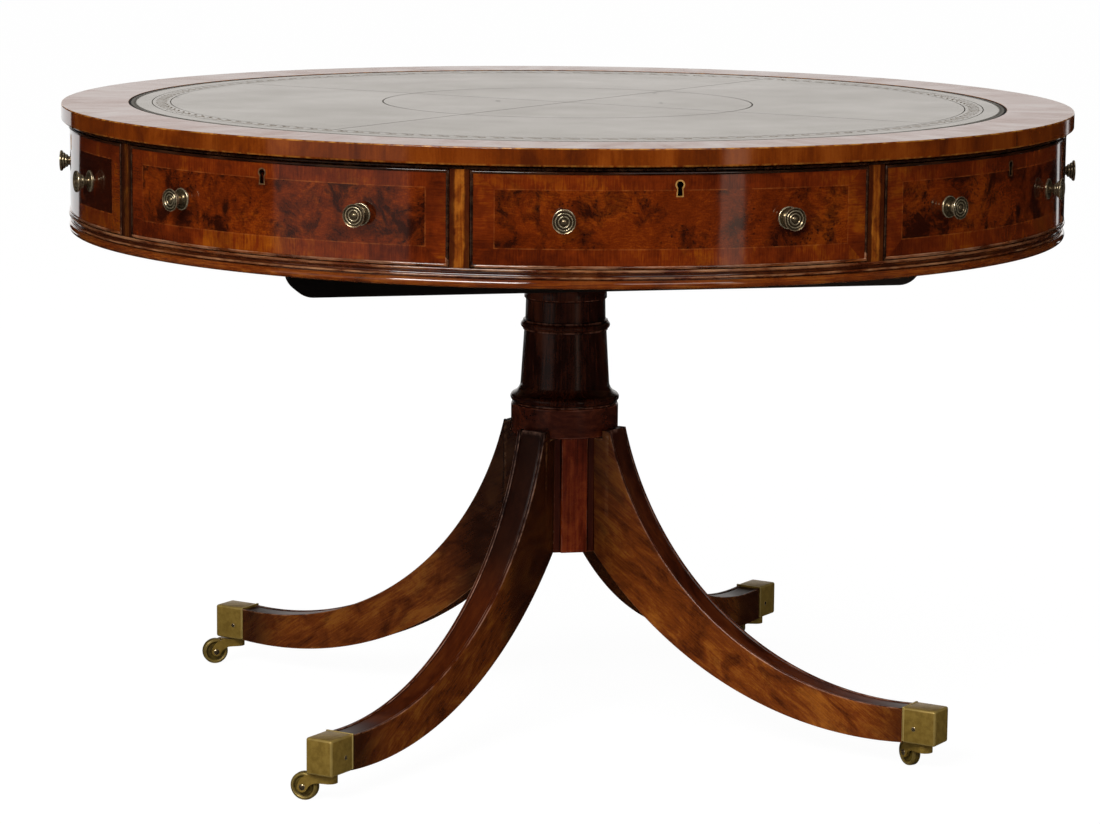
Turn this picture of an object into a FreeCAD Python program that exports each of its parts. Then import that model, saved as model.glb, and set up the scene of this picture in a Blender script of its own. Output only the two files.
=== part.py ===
"""Revolving drum library table with four drawers, four dummy fronts and four sabre legs on castors.

Frame: origin on the floor under the table's axis, +Z up, millimetres and degrees. One drawer faces -Y.
Every front, drawer, leg, cap and castor is drawn looking along +X from the axis and is then turned
about the axis to its own bearing. The pedestal stands a little turned against the drum.
"""
import FreeCAD, Part
import Sketcher
import math
import os

# ---------------------------------------------------------------- driving dimensions

DRIVING = {
    "overall_height": 762.0,
    "top_radius": 610.0,
    "top_thickness": 20.0,
    "top_edge_round": 2.5,
    "leather_radius": 530.0,
    "leather_thickness": 1.5,
    "leather_sunk": 0.5,
    "leather_gap": 1.0,
    "face_radius": 600.0,
    "drum_underside": 611.0,
    "floor_underside": 613.0,
    "floor_top": 631.8,
    "moulding_inner_radius": 588.0,
    "rail_underside": 737.0,
    "rail_inner_radius": 572.0,
    "front_underside": 632.7,
    "front_height": 103.5,
    "front_sweep": 42.78,
    "front_thickness": 22.0,
    "bead_width": 3.0,
    "bead_proud": 1.2,
    "stile_sweep": 2.06,
    "stile_depth": 28.0,
    "tongue_thickness": 5.0,
    "knob_bearing": 11.8,
    "knob_radius": 12.7,
    "knob_reach": 17.6,
    "knob_shank_radius": 3.0,
    "knob_shank_length": 14.0,
    "knob_plate_radius": 12.4,
    "bored_clearance": 0.05,
    "keyhole_centre": 722.6,
    "escutcheon_radius": 5.3,
    "escutcheon_drop": 13.2,
    "escutcheon_skirt": 4.2,
    "escutcheon_depth": 3.0,
    "escutcheon_proud": 0.2,
    "keyhole_radius": 3.7,
    "keyhole_drop": 11.9,
    "keyhole_skirt": 2.8,
    "lock_width": 60.0,
    "lock_drop": 34.0,
    "lock_depth": 11.0,
    "bolt_height": 2.0,
    "drawer_half_width": 202.0,
    "drawer_back_reach": 232.0,
    "lining_thickness": 10.0,
    "drawer_side_height": 92.0,
    "runner_gap": 0.5,
    "drawer_bottom_lift": 5.0,
    "drawer_bottom_thickness": 6.0,
    "partition_inner": 206.0,
    "partition_thickness": 10.0,
    "partition_reach": 528.0,
    "pedestal_turn": 1.9,
    "bearer_face": 231.0,
    "bearer_thickness": 40.0,
    "bearer_half_length": 379.0,
    "bearer_underside": 560.0,
    "bearer_round": 28.0,
    "turning_gap": 0.3,
    "platform_underside": 575.0,
    "platform_top": 610.0,
    "platform_half_width": 150.0,
    "pivot_radius": 12.0,
    "pivot_clearance": 0.05,
    "pivot_tail": 20.0,
    "pivot_top": 650.0,
    "collar_radius": 26.0,
    "collar_thickness": 4.0,
    "column_foot": 394.0,
    "column_tenon_radius": 25.0,
    "column_tenon_length": 54.0,
    "column_foot_radius": 54.6,
    "column_shaft_radius": 48.9,
    "column_neck_radius": 47.6,
    "column_bell_radius": 62.0,
    "column_head_radius": 30.0,
    "column_head_length": 25.0,
    "band_radius": 65.8,
    "block_shoulder": 357.0,
    "block_underside": 215.0,
    "panel_reach": 57.0,
    "panel_half_width": 16.0,
    "leg_root": 55.0,
    "leg_notch": 66.4,
    "leg_head": 367.0,
    "leg_root_width": 40.0,
    "leg_toe_width": 34.0,
    "upper_arc_centre": 452.7,
    "upper_arc_level": 463.1,
    "upper_arc_radius": 388.3,
    "lower_arc_centre": 437.3,
    "lower_arc_level": 522.8,
    "lower_arc_radius": 490.4,
    "reed_panel_width": 26.0,
    "reed_panel_sink": 1.3,
    "cap_start": 480.0,
    "cap_length": 43.0,
    "cap_width": 36.0,
    "cap_underside": 34.5,
    "cap_top": 77.2,
    "cap_wall": 1.7,
    "cap_floor": 5.0,
    "cap_round": 2.5,
    "cap_lip": 0.8,
    "cap_lip_width": 2.6,
    "screw_radius": 2.6,
    "screw_height": 0.7,
    "castor_reach": 501.5,
    "wheel_radius": 16.5,
    "wheel_half_width": 6.2,
    "castor_trail": 30.0,
    "castor_boss_radius": 9.5,
    "castor_head": 33.6,
    "castor_boss_height": 11.0,
    "castor_stem_radius": 4.0,
    "castor_axle_radius": 2.5,
    "castor_cheek": 9.5,
    "castor_eye": 6.0,
    "heading_front_left": -120.0,
    "heading_front_right": -161.6,
    "heading_back_right": -104.0,
    "heading_back_left": -83.6,
}

document = FreeCAD.newDocument("drum_table")
sheet = document.addObject("Spreadsheet::Sheet", "sizes")
for row, (alias, number) in enumerate(DRIVING.items(), start=1):
    sheet.set(f"A{row}", alias)
    sheet.set(f"B{row}", str(number))
    sheet.setAlias(f"B{row}", alias)
document.recompute()


class Size:
    """A size that knows its value and its formula over the cells of the sheet."""

    def __init__(self, formula, value):
        self.formula = formula
        self.value = value

    def __add__(self, other):
        other = as_size(other)
        return Size(f"({self.formula} + {other.formula})", self.value + other.value)

    def __sub__(self, other):
        other = as_size(other)
        return Size(f"({self.formula} - {other.formula})", self.value - other.value)

    def __mul__(self, other):
        other = as_size(other)
        return Size(f"({self.formula} * {other.formula})", self.value * other.value)

    def __neg__(self):
        return Size(f"(0 - {self.formula})", -self.value)


def as_size(number):
    return number if isinstance(number, Size) else Size(repr(float(number)), float(number))


def cell(alias):
    return Size(f"sizes.{alias}", float(sheet.get(alias)))


def root(size):
    return Size(f"sqrt({size.formula})", math.sqrt(size.value))


def chord(radius, offset):
    """How far along its own axis a circle of this radius reaches, at this offset from the axis."""
    return root(radius * radius - offset * offset)


def bind(thing, prop, size):
    size = as_size(size)
    thing.setExpression(prop, size.formula)
    return size.value


# ---------------------------------------------------------------- sketching helpers

RADIAL_PLANE = "XZ_Plane"
CROSS_PLANE = "YZ_Plane"
GROUND_PLANE = "XY_Plane"


def new_body(name):
    return document.addObject("PartDesign::Body", name)


def new_sketch(body, plane_role, height=None):
    """A sketch on one of the body's own origin planes, moved along the plane's normal by height."""
    planes = [feature for feature in body.Origin.OriginFeatures if feature.Role == plane_role]
    sketch = body.newObject("Sketcher::SketchObject", f"{body.Name}_sketch")
    sketch.AttachmentSupport = [(planes[0], "")]
    sketch.MapMode = "FlatFace"
    if height is not None:
        bind(sketch, "AttachmentOffset.Base.z", height)
    return sketch


def arc_crown(start, end, radius, long_way):
    """The middle point of an arc. A positive radius turns left on the way from start to end, a
    negative one turns right, and the long way is the larger part of the circle."""
    span = end - start
    middle = (start + end) * 0.5
    left = FreeCAD.Vector(-span.y, span.x, 0).normalize()
    centre_offset = math.sqrt(max(radius * radius - span.Length * span.Length / 4, 0))
    if long_way:
        centre_offset = -centre_offset
    side = 1 if radius > 0 else -1
    return middle - left * (side * (abs(radius) - centre_offset))


def outline(sketch, corners):
    """A closed outline. A corner is (x, y) or (x, y, radius) or (x, y, radius, long_way), where the
    radius belongs to the arc from this corner to the next one."""
    spots = []
    for corner in corners:
        spots.append(FreeCAD.Vector(as_size(corner[0]).value, as_size(corner[1]).value, 0))
    count = len(corners)
    start_points = []
    end_points = []
    for index, corner in enumerate(corners):
        start = spots[index]
        end = spots[(index + 1) % count]
        if len(corner) == 2:
            edge = sketch.addGeometry(Part.LineSegment(start, end), False)
            start_points.append((edge, 1))
            end_points.append((edge, 2))
            continue
        radius = as_size(corner[2])
        long_way = len(corner) > 3 and corner[3]
        crown = arc_crown(start, end, radius.value, long_way)
        forward = radius.value > 0
        drawn = Part.Arc(start, crown, end) if forward else Part.Arc(end, crown, start)
        edge = sketch.addGeometry(drawn, False)
        start_points.append((edge, 1 if forward else 2))
        end_points.append((edge, 2 if forward else 1))
        number = sketch.addConstraint(Sketcher.Constraint("Radius", edge, abs(radius.value)))
        magnitude = radius if radius.value > 0 else -radius
        sketch.setExpression(f"Constraints[{number}]", magnitude.formula)
    for index in range(count):
        tail = end_points[index]
        head = start_points[(index + 1) % count]
        sketch.addConstraint(Sketcher.Constraint("Coincident", tail[0], tail[1], head[0], head[1]))
    for index, corner in enumerate(corners):
        edge, point = start_points[index]
        place_point(sketch, edge, point, corner[0], corner[1])


def place_point(sketch, edge, point, x_size, y_size):
    """Hold a point of an edge at a place measured from the sketch's origin."""
    for kind, size in (("DistanceX", as_size(x_size)), ("DistanceY", as_size(y_size))):
        if abs(size.value) < 1e-9:
            axis = -2 if kind == "DistanceX" else -1
            sketch.addConstraint(Sketcher.Constraint("PointOnObject", edge, point, axis))
            continue
        datum = Sketcher.Constraint(kind, -1, 1, edge, point, size.value)
        number = sketch.addConstraint(datum)
        sketch.setExpression(f"Constraints[{number}]", size.formula)


def rectangle(sketch, x_low, x_high, y_low, y_high):
    outline(sketch, [(x_low, y_low), (x_high, y_low), (x_high, y_high), (x_low, y_high)])


def circle(sketch, x_size, y_size, radius):
    radius = as_size(radius)
    centre = FreeCAD.Vector(as_size(x_size).value, as_size(y_size).value, 0)
    edge = sketch.addGeometry(Part.Circle(centre, FreeCAD.Vector(0, 0, 1), radius.value), False)
    place_point(sketch, edge, 3, x_size, y_size)
    number = sketch.addConstraint(Sketcher.Constraint("Radius", edge, radius.value))
    sketch.setExpression(f"Constraints[{number}]", radius.formula)


def feature(body, kind, sketch, **settings):
    """Add a PartDesign feature on a sketch. Sizes are bound to the sheet."""
    made = body.newObject(f"PartDesign::{kind}", f"{body.Name}_{kind.lower()}")
    made.Profile = sketch
    for prop, setting in settings.items():
        if isinstance(setting, Size):
            bind(made, prop, setting)
        else:
            setattr(made, prop, setting)
    body.Tip = made
    document.recompute()
    return made


def pad(body, sketch, length, **settings):
    return feature(body, "Pad", sketch, Length=as_size(length), **settings)


def revolve(body, sketch, axis="V_Axis", sweep=360.0, kind="Revolution", centred=False):
    settings = {"ReferenceAxis": (sketch, [axis]), "Angle": as_size(sweep), "Midplane": centred}
    return feature(body, kind, sketch, **settings)


def cut(body, kind, sketch, **settings):
    """A Pocket or Groove that has to take material away: it is turned round if it points outwards."""
    before = body.Shape.Volume
    made = feature(body, kind, sketch, **settings)
    if before - body.Shape.Volume < 1e-3:
        made.Reversed = not made.Reversed
        document.recompute()
    if before - body.Shape.Volume < 1e-3:
        raise RuntimeError(f"{made.Name} removes nothing")
    return made


def turned_body(name, corners):
    """A lathe-turned piece about the table's axis, from its outline of radius and height."""
    body = new_body(name)
    sketch = new_sketch(body, RADIAL_PLANE)
    outline(sketch, corners)
    revolve(body, sketch)
    return body


def block(name, x_low, x_high, y_low, y_high, z_low, z_high):
    """A plain board between these limits."""
    board = document.addObject("Part::Box", name)
    limits = {"Length": (x_low, x_high, "x"), "Width": (y_low, y_high, "y"), "Height": (z_low, z_high, "z")}
    for prop, (low, high, axis) in limits.items():
        bind(board, prop, as_size(high) - as_size(low))
        bind(board, f"Placement.Base.{axis}", low)
    return board


def group(name, members):
    """Several separate solids of one kind, kept together as one node."""
    gathered = document.addObject("Part::Compound", name)
    gathered.Links = members
    return gathered


def about_axis(bearing):
    return FreeCAD.Placement(FreeCAD.Vector(), FreeCAD.Rotation(FreeCAD.Vector(0, 0, 1), bearing))


nodes = {}


def keep(node, thing, bearing=0.0):
    """Name a finished piece and turn it about the table's axis to its bearing."""
    thing.Label = node
    thing.Placement = about_axis(bearing) * thing.Placement
    nodes[node] = thing


# ---------------------------------------------------------------- bearings

PEDESTAL = DRIVING["pedestal_turn"]
DRAWER_BEARINGS = {"front": -90.0, "right": 0.0, "back": 90.0, "left": 180.0}
DUMMY_BEARINGS = {"front_right": -45.0, "back_right": 45.0, "back_left": 135.0, "front_left": -135.0}
LEG_BEARINGS = {corner: bearing + PEDESTAL for corner, bearing in DUMMY_BEARINGS.items()}
STILE_BEARINGS = [22.5 + 45.0 * step for step in range(8)]

height = cell("overall_height")
front_low = cell("front_underside")
front_high = front_low + cell("front_height")
face = cell("face_radius")
front_back = face - cell("front_thickness")

# ---------------------------------------------------------------- top

top_low = height - cell("top_thickness")
top_edge = cell("top_radius")
leather_high = height - cell("leather_sunk")
leather_low = leather_high - cell("leather_thickness")


def make_top():
    """A board under the writing leather, inside a crossbanded border with a softened edge."""
    board = turned_body("top_board", [
        (0, top_low), (cell("leather_radius"), top_low), (cell("leather_radius"), leather_low), (0, leather_low),
    ])
    keep("top_board", board)
    round_size = cell("top_edge_round")
    border = turned_body("top_border", [
        (cell("leather_radius"), top_low),
        (top_edge - round_size, top_low, round_size),
        (top_edge, top_low + round_size),
        (top_edge, height - round_size, round_size),
        (top_edge - round_size, height),
        (cell("leather_radius"), height),
    ])
    keep("top_border", border)
    leather_edge = cell("leather_radius") - cell("leather_gap")
    leather = turned_body("leather_panel", [
        (0, leather_low), (leather_edge, leather_low), (leather_edge, leather_high), (0, leather_high),
    ])
    keep("leather_panel", leather)


# ---------------------------------------------------------------- drum carcass

def make_carcass():
    """Floor, base moulding and upper rail: rings that the fronts and stiles stand between."""
    floor_low = cell("floor_underside")
    floor_high = cell("floor_top")
    ring = cell("moulding_inner_radius")
    bore = cell("pivot_radius") + cell("pivot_clearance")
    floor = turned_body("drum_floor", [
        (bore, floor_low), (ring, floor_low), (ring, floor_high), (bore, floor_high),
    ])
    keep("drum_floor", floor)

    low = cell("drum_underside")
    high = floor_high
    torus_radius = 5.4
    torus_foot = face - 1.0
    torus_high = low + 2 * torus_radius
    cove_high = high - 4.0
    moulding = turned_body("base_moulding", [
        (ring, low),
        (torus_foot, low, torus_radius),
        (torus_foot, torus_high),
        (face - 2.2, torus_high, -5.0),
        (face + 0.6, cove_high),
        (face + 1.4, cove_high, 2.4),
        (face + 1.4, high),
        (ring, high),
    ])
    keep("base_moulding", moulding)

    rail_low = cell("rail_underside")
    bead = 1.7
    rail = turned_body("upper_rail", [
        (cell("rail_inner_radius"), rail_low),
        (face - 1.0, rail_low, bead),
        (face - 1.0, rail_low + 2 * bead),
        (face - 3.0, rail_low + 2 * bead),
        (face - 3.0, top_low),
        (cell("rail_inner_radius"), top_low),
    ])
    keep("upper_rail", rail)


def make_stiles():
    """Eight upright posts between the fronts, standing on the floor ring under the upper rail."""
    posts = []
    for number, bearing in enumerate(STILE_BEARINGS):
        post = new_body(f"stile_{number}")
        sketch = new_sketch(post, RADIAL_PLANE)
        rectangle(sketch, face - cell("stile_depth"), face, cell("floor_top"), cell("rail_underside"))
        revolve(post, sketch, sweep=cell("stile_sweep"), centred=True)
        post.Placement = about_axis(bearing)
        posts.append(post)
    keep("stiles", group("stiles", posts))


def make_partitions():
    """Boards on edge that make the four drawer bays around a closed middle bay."""
    near = cell("partition_inner")
    far = near + cell("partition_thickness")
    reach = cell("partition_reach")
    low = cell("floor_top")
    high = top_low
    boards = []
    for number, side in enumerate((1, -1)):
        limits = sorted((near * side, far * side), key=lambda size: size.value)
        boards.append(block(f"long_partition_{number}", limits[0], limits[1], -reach, reach, low, high))
        boards.append(block(f"middle_partition_{number}", -near, near, limits[0], limits[1], low, high))
        boards.append(block(f"right_partition_{number}", far, reach, limits[0], limits[1], low, high))
        boards.append(block(f"left_partition_{number}", -reach, -far, limits[0], limits[1], low, high))
    keep("partitions", group("partitions", boards))


# ---------------------------------------------------------------- fronts, knobs and locks

def keyhole_outline(sketch, radius, drop, skirt):
    """A round head over a skirt that widens a little towards its foot."""
    centre = cell("keyhole_centre")
    waist = radius * 0.62
    waist_level = centre - radius * 0.785
    outline(sketch, [
        (-skirt, centre - drop),
        (skirt, centre - drop),
        (waist, waist_level, radius, True),
        (-waist, waist_level),
    ])


def lining_outline(sketch):
    keyhole_outline(sketch, cell("escutcheon_radius"), cell("escutcheon_drop"), cell("escutcheon_skirt"))


def make_front_body(name, opens):
    """A curved front with a raised cockbead and a seat for the keyhole's lining. The front of a drawer
    has a mortise for the lock, and a dummy has a tongue at its back that reaches the floor and the rail."""
    body = new_body(name)
    bead = cell("bead_width")
    proud = face + cell("bead_proud")
    sketch = new_sketch(body, RADIAL_PLANE)
    rectangle(sketch, front_back, proud, front_low, front_high)
    revolve(body, sketch, sweep=cell("front_sweep"), centred=True)
    field = new_sketch(body, RADIAL_PLANE)
    rectangle(field, face, proud + 4, front_low + bead, front_high - bead)
    bead_sweep = bead * (2 * 180 / math.pi / DRIVING["face_radius"])
    settings = {"ReferenceAxis": (field, ["V_Axis"]), "Angle": cell("front_sweep") - bead_sweep, "Midplane": True}
    cut(body, "Groove", field, **settings)
    if opens:
        mortise = new_sketch(body, CROSS_PLANE, front_back + cell("lock_depth"))
        half = cell("lock_width") * 0.5
        rectangle(mortise, -half, half, front_high - cell("lock_drop"), front_high - cell("bolt_height"))
        cut(body, "Pocket", mortise, Length=cell("front_thickness"))
    else:
        tongue = new_sketch(body, RADIAL_PLANE)
        inner = front_back - cell("tongue_thickness")
        rectangle(tongue, inner, front_back + 1, cell("floor_top"), cell("rail_underside"))
        revolve(body, tongue, sweep=cell("front_sweep"), centred=True)
    seat = new_sketch(body, CROSS_PLANE, face - cell("escutcheon_depth"))
    lining_outline(seat)
    cut(body, "Pocket", seat, Length=cell("front_thickness"), Reversed=True)
    return body


def radial_pin(name, bearing, level, inner, outer, radius):
    """A round bar that points away from the table's axis."""
    pin = document.addObject("Part::Cylinder", name)
    bind(pin, "Radius", radius)
    bind(pin, "Height", as_size(outer) - as_size(inner))
    lying = FreeCAD.Placement(
        FreeCAD.Vector(as_size(inner).value, 0, level.value),
        FreeCAD.Rotation(FreeCAD.Vector(0, 1, 0), 90),
    )
    pin.Placement = about_axis(bearing) * lying
    return pin


def drill_for_knobs(name, front):
    """Take the two shank holes out of a front, square to its curved face."""
    middle = front_low + cell("front_height") * 0.5
    bearing = DRIVING["knob_bearing"]
    radius = cell("knob_shank_radius") + cell("bored_clearance")
    deep = face - cell("knob_shank_length") - 1
    drills = []
    for side in (-1, 1):
        drills.append(radial_pin(f"{name}_drill", side * bearing, middle, deep, face + 5, radius))
    both = document.addObject("Part::MultiFuse", f"{name}_drills")
    both.Shapes = drills
    drilled = document.addObject("Part::Cut", name)
    drilled.Base = front
    drilled.Tool = both
    return drilled


def make_knob(name, bearing):
    """A turned brass knob: back plate, neck, a head that widens in three beads, and a ringed face."""
    body = new_body(name)
    sketch = new_sketch(body, RADIAL_PLANE)
    head = cell("knob_radius")
    reach = cell("knob_reach")
    shank = cell("knob_shank_radius")
    tail = -cell("knob_shank_length")
    plate = cell("knob_plate_radius")
    outline(sketch, [
        (tail, 0),
        (tail, shank),
        (0, shank),
        (0, plate),
        (1.4, plate),
        (1.4, 7.2),
        (4.6, 5.2),
        (reach - 9.8, 5.6),
        (reach - 9.6, 6.6, -1.9),
        (reach - 6.6, 7.4),
        (reach - 6.3, 8.6, -1.9),
        (reach - 3.6, 9.6),
        (reach - 3.4, 11.0, -2.0),
        (reach - 0.5, head - 0.3),
        (reach - 1.3, head - 1.7),
        (reach - 1.3, head - 2.5),
        (reach - 0.6, head - 3.1),
        (reach - 0.6, head - 3.9),
        (reach - 1.6, head - 4.7),
        (reach - 1.6, head - 5.8),
        (reach - 0.8, head - 6.4),
        (reach - 0.8, head - 7.4),
        (reach - 1.6, head - 8.1),
        (reach - 1.6, 3.4, -4.4),
        (reach, 0),
    ])
    revolve(body, sketch, axis="H_Axis")
    middle = front_low + cell("front_height") * 0.5
    body.Placement = about_axis(bearing) * FreeCAD.Placement(
        FreeCAD.Vector(face.value, 0, middle.value), FreeCAD.Rotation()
    )
    return body


def make_escutcheon(name):
    """The brass lining of the keyhole, let in flush with the front."""
    body = new_body(name)
    sketch = new_sketch(body, CROSS_PLANE, face - cell("escutcheon_depth"))
    lining_outline(sketch)
    keyhole_outline(sketch, cell("keyhole_radius"), cell("keyhole_drop"), cell("keyhole_skirt"))
    pad(body, sketch, cell("escutcheon_depth") + cell("escutcheon_proud"))
    return body


def make_lock(name):
    """Lock case with its bolt, let into the back of the front, and the keyhole's lining."""
    half = cell("lock_width") * 0.5
    low = front_high - cell("lock_drop")
    back = chord(front_back, half) + 0.5
    depth = front_back + cell("lock_depth")
    bolt_high = front_high - cell("bolt_height")
    case_high = bolt_high - cell("bolt_height")
    case = block(f"{name}_case", back, depth, -half, half, low, case_high)
    bolt = block(f"{name}_bolt", back + 4, depth - 4, -9, 9, case_high, bolt_high)
    return group(name, [case, bolt, make_escutcheon(f"{name}_lining")])


def make_dummies():
    """Four fixed fronts between the drawers, dressed like the real ones."""
    knobs = []
    linings = []
    for corner, bearing in DUMMY_BEARINGS.items():
        node = f"{corner}_dummy_front"
        front = make_front_body(f"{node}_blank", opens=False)
        keep(node, drill_for_knobs(node, front), bearing)
        for side in (-1, 1):
            knobs.append(make_knob(f"{corner}_dummy_knob", bearing + side * DRIVING["knob_bearing"]))
        lining = make_escutcheon(f"{corner}_dummy_lining")
        lining.Placement = about_axis(bearing)
        linings.append(lining)
    keep("dummy_knobs", group("dummy_knobs", knobs))
    keep("dummy_escutcheons", group("dummy_escutcheons", linings))


# ---------------------------------------------------------------- drawers

def make_side(name, side):
    """A drawer side that ends on the hollow back of the curved front."""
    outer = cell("drawer_half_width") * side
    inner = (cell("drawer_half_width") - cell("lining_thickness")) * side
    start = cell("drawer_back_reach")
    body = new_body(name)
    sketch = new_sketch(body, GROUND_PLANE, cell("floor_top") + cell("runner_gap"))
    outline(sketch, [
        (start, outer),
        (start, inner),
        (chord(front_back, inner), inner, -front_back if side < 0 else front_back),
        (chord(front_back, outer), outer),
    ])
    pad(body, sketch, cell("drawer_side_height"))
    return body


def make_drawer(place, bearing):
    """Front, two sides, back and bottom of one drawer, with its knobs and lock."""
    prefix = f"{place}_drawer"
    inner = cell("drawer_half_width") - cell("lining_thickness")
    start = cell("drawer_back_reach")
    bottom_low = cell("floor_top") + cell("runner_gap") + cell("drawer_bottom_lift")
    bottom_high = bottom_low + cell("drawer_bottom_thickness")
    side_high = cell("floor_top") + cell("runner_gap") + cell("drawer_side_height")

    blank = make_front_body(f"{prefix}_front_blank", opens=True)
    keep(f"{prefix}_front", drill_for_knobs(f"{prefix}_front", blank), bearing)

    sides = [make_side(f"{prefix}_side_{number}", side) for number, side in enumerate((1, -1))]
    keep(f"{prefix}_sides", group(f"{prefix}_sides", sides), bearing)

    back_end = start + cell("lining_thickness")
    back = block(f"{prefix}_back_board", start, back_end, -inner, inner, bottom_high, side_high - 5)
    keep(f"{prefix}_back", group(f"{prefix}_back", [back]), bearing)

    bottom = new_body(f"{prefix}_bottom")
    sketch = new_sketch(bottom, GROUND_PLANE, bottom_low)
    outline(sketch, [
        (start, -inner),
        (chord(front_back, inner), -inner, front_back),
        (chord(front_back, inner), inner),
        (start, inner),
    ])
    pad(bottom, sketch, cell("drawer_bottom_thickness"))
    keep(f"{prefix}_bottom", bottom, bearing)

    turn = DRIVING["knob_bearing"]
    knobs = [make_knob(f"{prefix}_knob", side * turn) for side in (-1, 1)]
    keep(f"{prefix}_knobs", group(f"{prefix}_knobs", knobs), bearing)
    keep(f"{prefix}_lock", make_lock(f"{prefix}_lock"), bearing)


# ---------------------------------------------------------------- pedestal

def make_column():
    """Turned column: tenon, ogee foot, tapered shaft, astragal, neck and head under the platform."""
    foot = cell("column_foot")
    tenon = cell("column_tenon_radius")
    tenon_low = foot - cell("column_tenon_length")
    head = cell("column_head_radius")
    shelf = cell("platform_underside")
    head_high = shelf + cell("column_head_length")
    band = cell("band_radius")
    shaft_foot = cell("column_foot_radius")
    shaft = cell("column_shaft_radius")
    neck = cell("column_neck_radius")
    bell = cell("column_bell_radius")
    pin = cell("pivot_radius")
    pin_low = shelf - cell("pivot_tail")
    column = turned_body("column", [
        (0, tenon_low),
        (tenon, tenon_low),
        (tenon, foot),
        (band - 1.6, foot),
        (band - 1.6, foot + 2.4, 5.4),
        (band - 3.4, foot + 11.4),
        (band - 5.2, foot + 12.2, -15.0),
        (shaft_foot, foot + 22.0),
        (shaft, foot + 90.0),
        (shaft + 1.5, foot + 90.0),
        (shaft + 1.5, foot + 92.2),
        (shaft + 0.3, foot + 92.2, 4.2),
        (shaft + 0.3, foot + 100.2),
        (shaft + 1.5, foot + 100.2),
        (shaft + 1.5, foot + 102.4),
        (neck + 0.6, foot + 102.4),
        (neck, foot + 128.0),
        (neck + 2.0, foot + 129.5),
        (neck + 2.0, foot + 133.0, -30.0),
        (bell, foot + 160.0),
        (bell, shelf),
        (head, shelf),
        (head, head_high),
        (pin, head_high),
        (pin, pin_low),
        (0, pin_low),
    ])
    keep("column", column, PEDESTAL)


def make_leg_block():
    """Turned band over a faceted block, with a flat for each leg and a panel between the legs."""
    body = new_body("leg_block")
    low = cell("block_underside")
    shoulder = cell("block_shoulder")
    foot = cell("column_foot")
    base = new_sketch(body, GROUND_PLANE, low)
    diagonal = math.sqrt(0.5)
    half = cell("leg_root_width") * 0.5
    leg_face = cell("leg_root")
    far = (cell("panel_reach") + cell("panel_half_width")) * diagonal
    near = (cell("panel_reach") - cell("panel_half_width")) * diagonal
    quarter = [(leg_face, half), (far, near), (near, far)]
    corners = []
    for corner_x, corner_y in quarter:
        corners.append((corner_x, corner_y))
    corners.append((half, leg_face))
    ring = []
    for turn in range(4):
        for corner_x, corner_y in corners:
            for _ in range(turn):
                corner_x, corner_y = -corner_y, corner_x
            ring.append((corner_x, corner_y))
    outline(base, ring)
    pad(body, base, shoulder - low)
    band = new_sketch(body, RADIAL_PLANE)
    radius = cell("band_radius")
    outline(band, [
        (0, shoulder),
        (radius - 1.5, shoulder),
        (radius, shoulder + 1.5),
        (radius, foot - 2.4, 1.6),
        (radius - 1.6, foot - 0.8),
        (radius - 2.6, foot),
        (0, foot),
    ])
    revolve(body, band)
    socket = new_sketch(body, GROUND_PLANE, foot)
    circle(socket, 0, 0, cell("column_tenon_radius"))
    cut(body, "Pocket", socket, Length=cell("column_tenon_length"))
    keep("leg_block", body, PEDESTAL + 45.0)


def make_platform():
    """Thick board on the column's head, between the bearers, and the iron pivot that rises from it."""
    body = new_body("top_platform")
    low = cell("platform_underside")
    high = cell("platform_top")
    half_x = cell("platform_half_width")
    half_y = cell("bearer_face") - cell("bearer_thickness")
    sketch = new_sketch(body, GROUND_PLANE, low)
    rectangle(sketch, -half_x, half_x, -half_y, half_y)
    pad(body, sketch, high - low)
    bore = new_sketch(body, GROUND_PLANE, high)
    circle(bore, 0, 0, cell("pivot_radius"))
    cut(body, "Pocket", bore, Length=high - low)
    socket = new_sketch(body, GROUND_PLANE, low)
    circle(socket, 0, 0, cell("column_head_radius"))
    cut(body, "Pocket", socket, Length=cell("column_head_length"), Reversed=True)
    keep("top_platform", body, PEDESTAL)

    radius = cell("pivot_radius")
    top = cell("pivot_top")
    tail = low - cell("pivot_tail")
    collar = cell("floor_top") + cell("turning_gap")
    collar_high = collar + cell("collar_thickness")
    pivot = turned_body("pivot_pin", [
        (0, tail),
        (radius, tail),
        (radius, collar),
        (cell("collar_radius"), collar),
        (cell("collar_radius"), collar_high),
        (radius, collar_high),
        (radius, top - 2),
        (radius - 2, top),
        (0, top),
    ])
    keep("pivot_pin", pivot, PEDESTAL)


def make_bearers():
    """Two ebonised rails with rounded lower ends that carry the turning drum."""
    low = cell("bearer_underside")
    high = cell("floor_underside") - cell("turning_gap")
    half = cell("bearer_half_length")
    bend = cell("bearer_round")
    thick = cell("bearer_thickness")
    near = cell("bearer_face") - thick
    rails = []
    for number, start in enumerate((near, -cell("bearer_face"))):
        rail = new_body(f"bearer_{number}")
        sketch = new_sketch(rail, RADIAL_PLANE)
        outline(sketch, [
            (-half, high),
            (-half, low + bend, bend),
            (bend - half, low),
            (half - bend, low, bend),
            (half, low + bend),
            (half, high),
        ])
        pad(rail, sketch, thick, Reversed=True)
        bind(rail, "Placement.Base.y", start)
        rails.append(rail)
    document.recompute()
    keep("bearers", group("bearers", rails), PEDESTAL)


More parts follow.
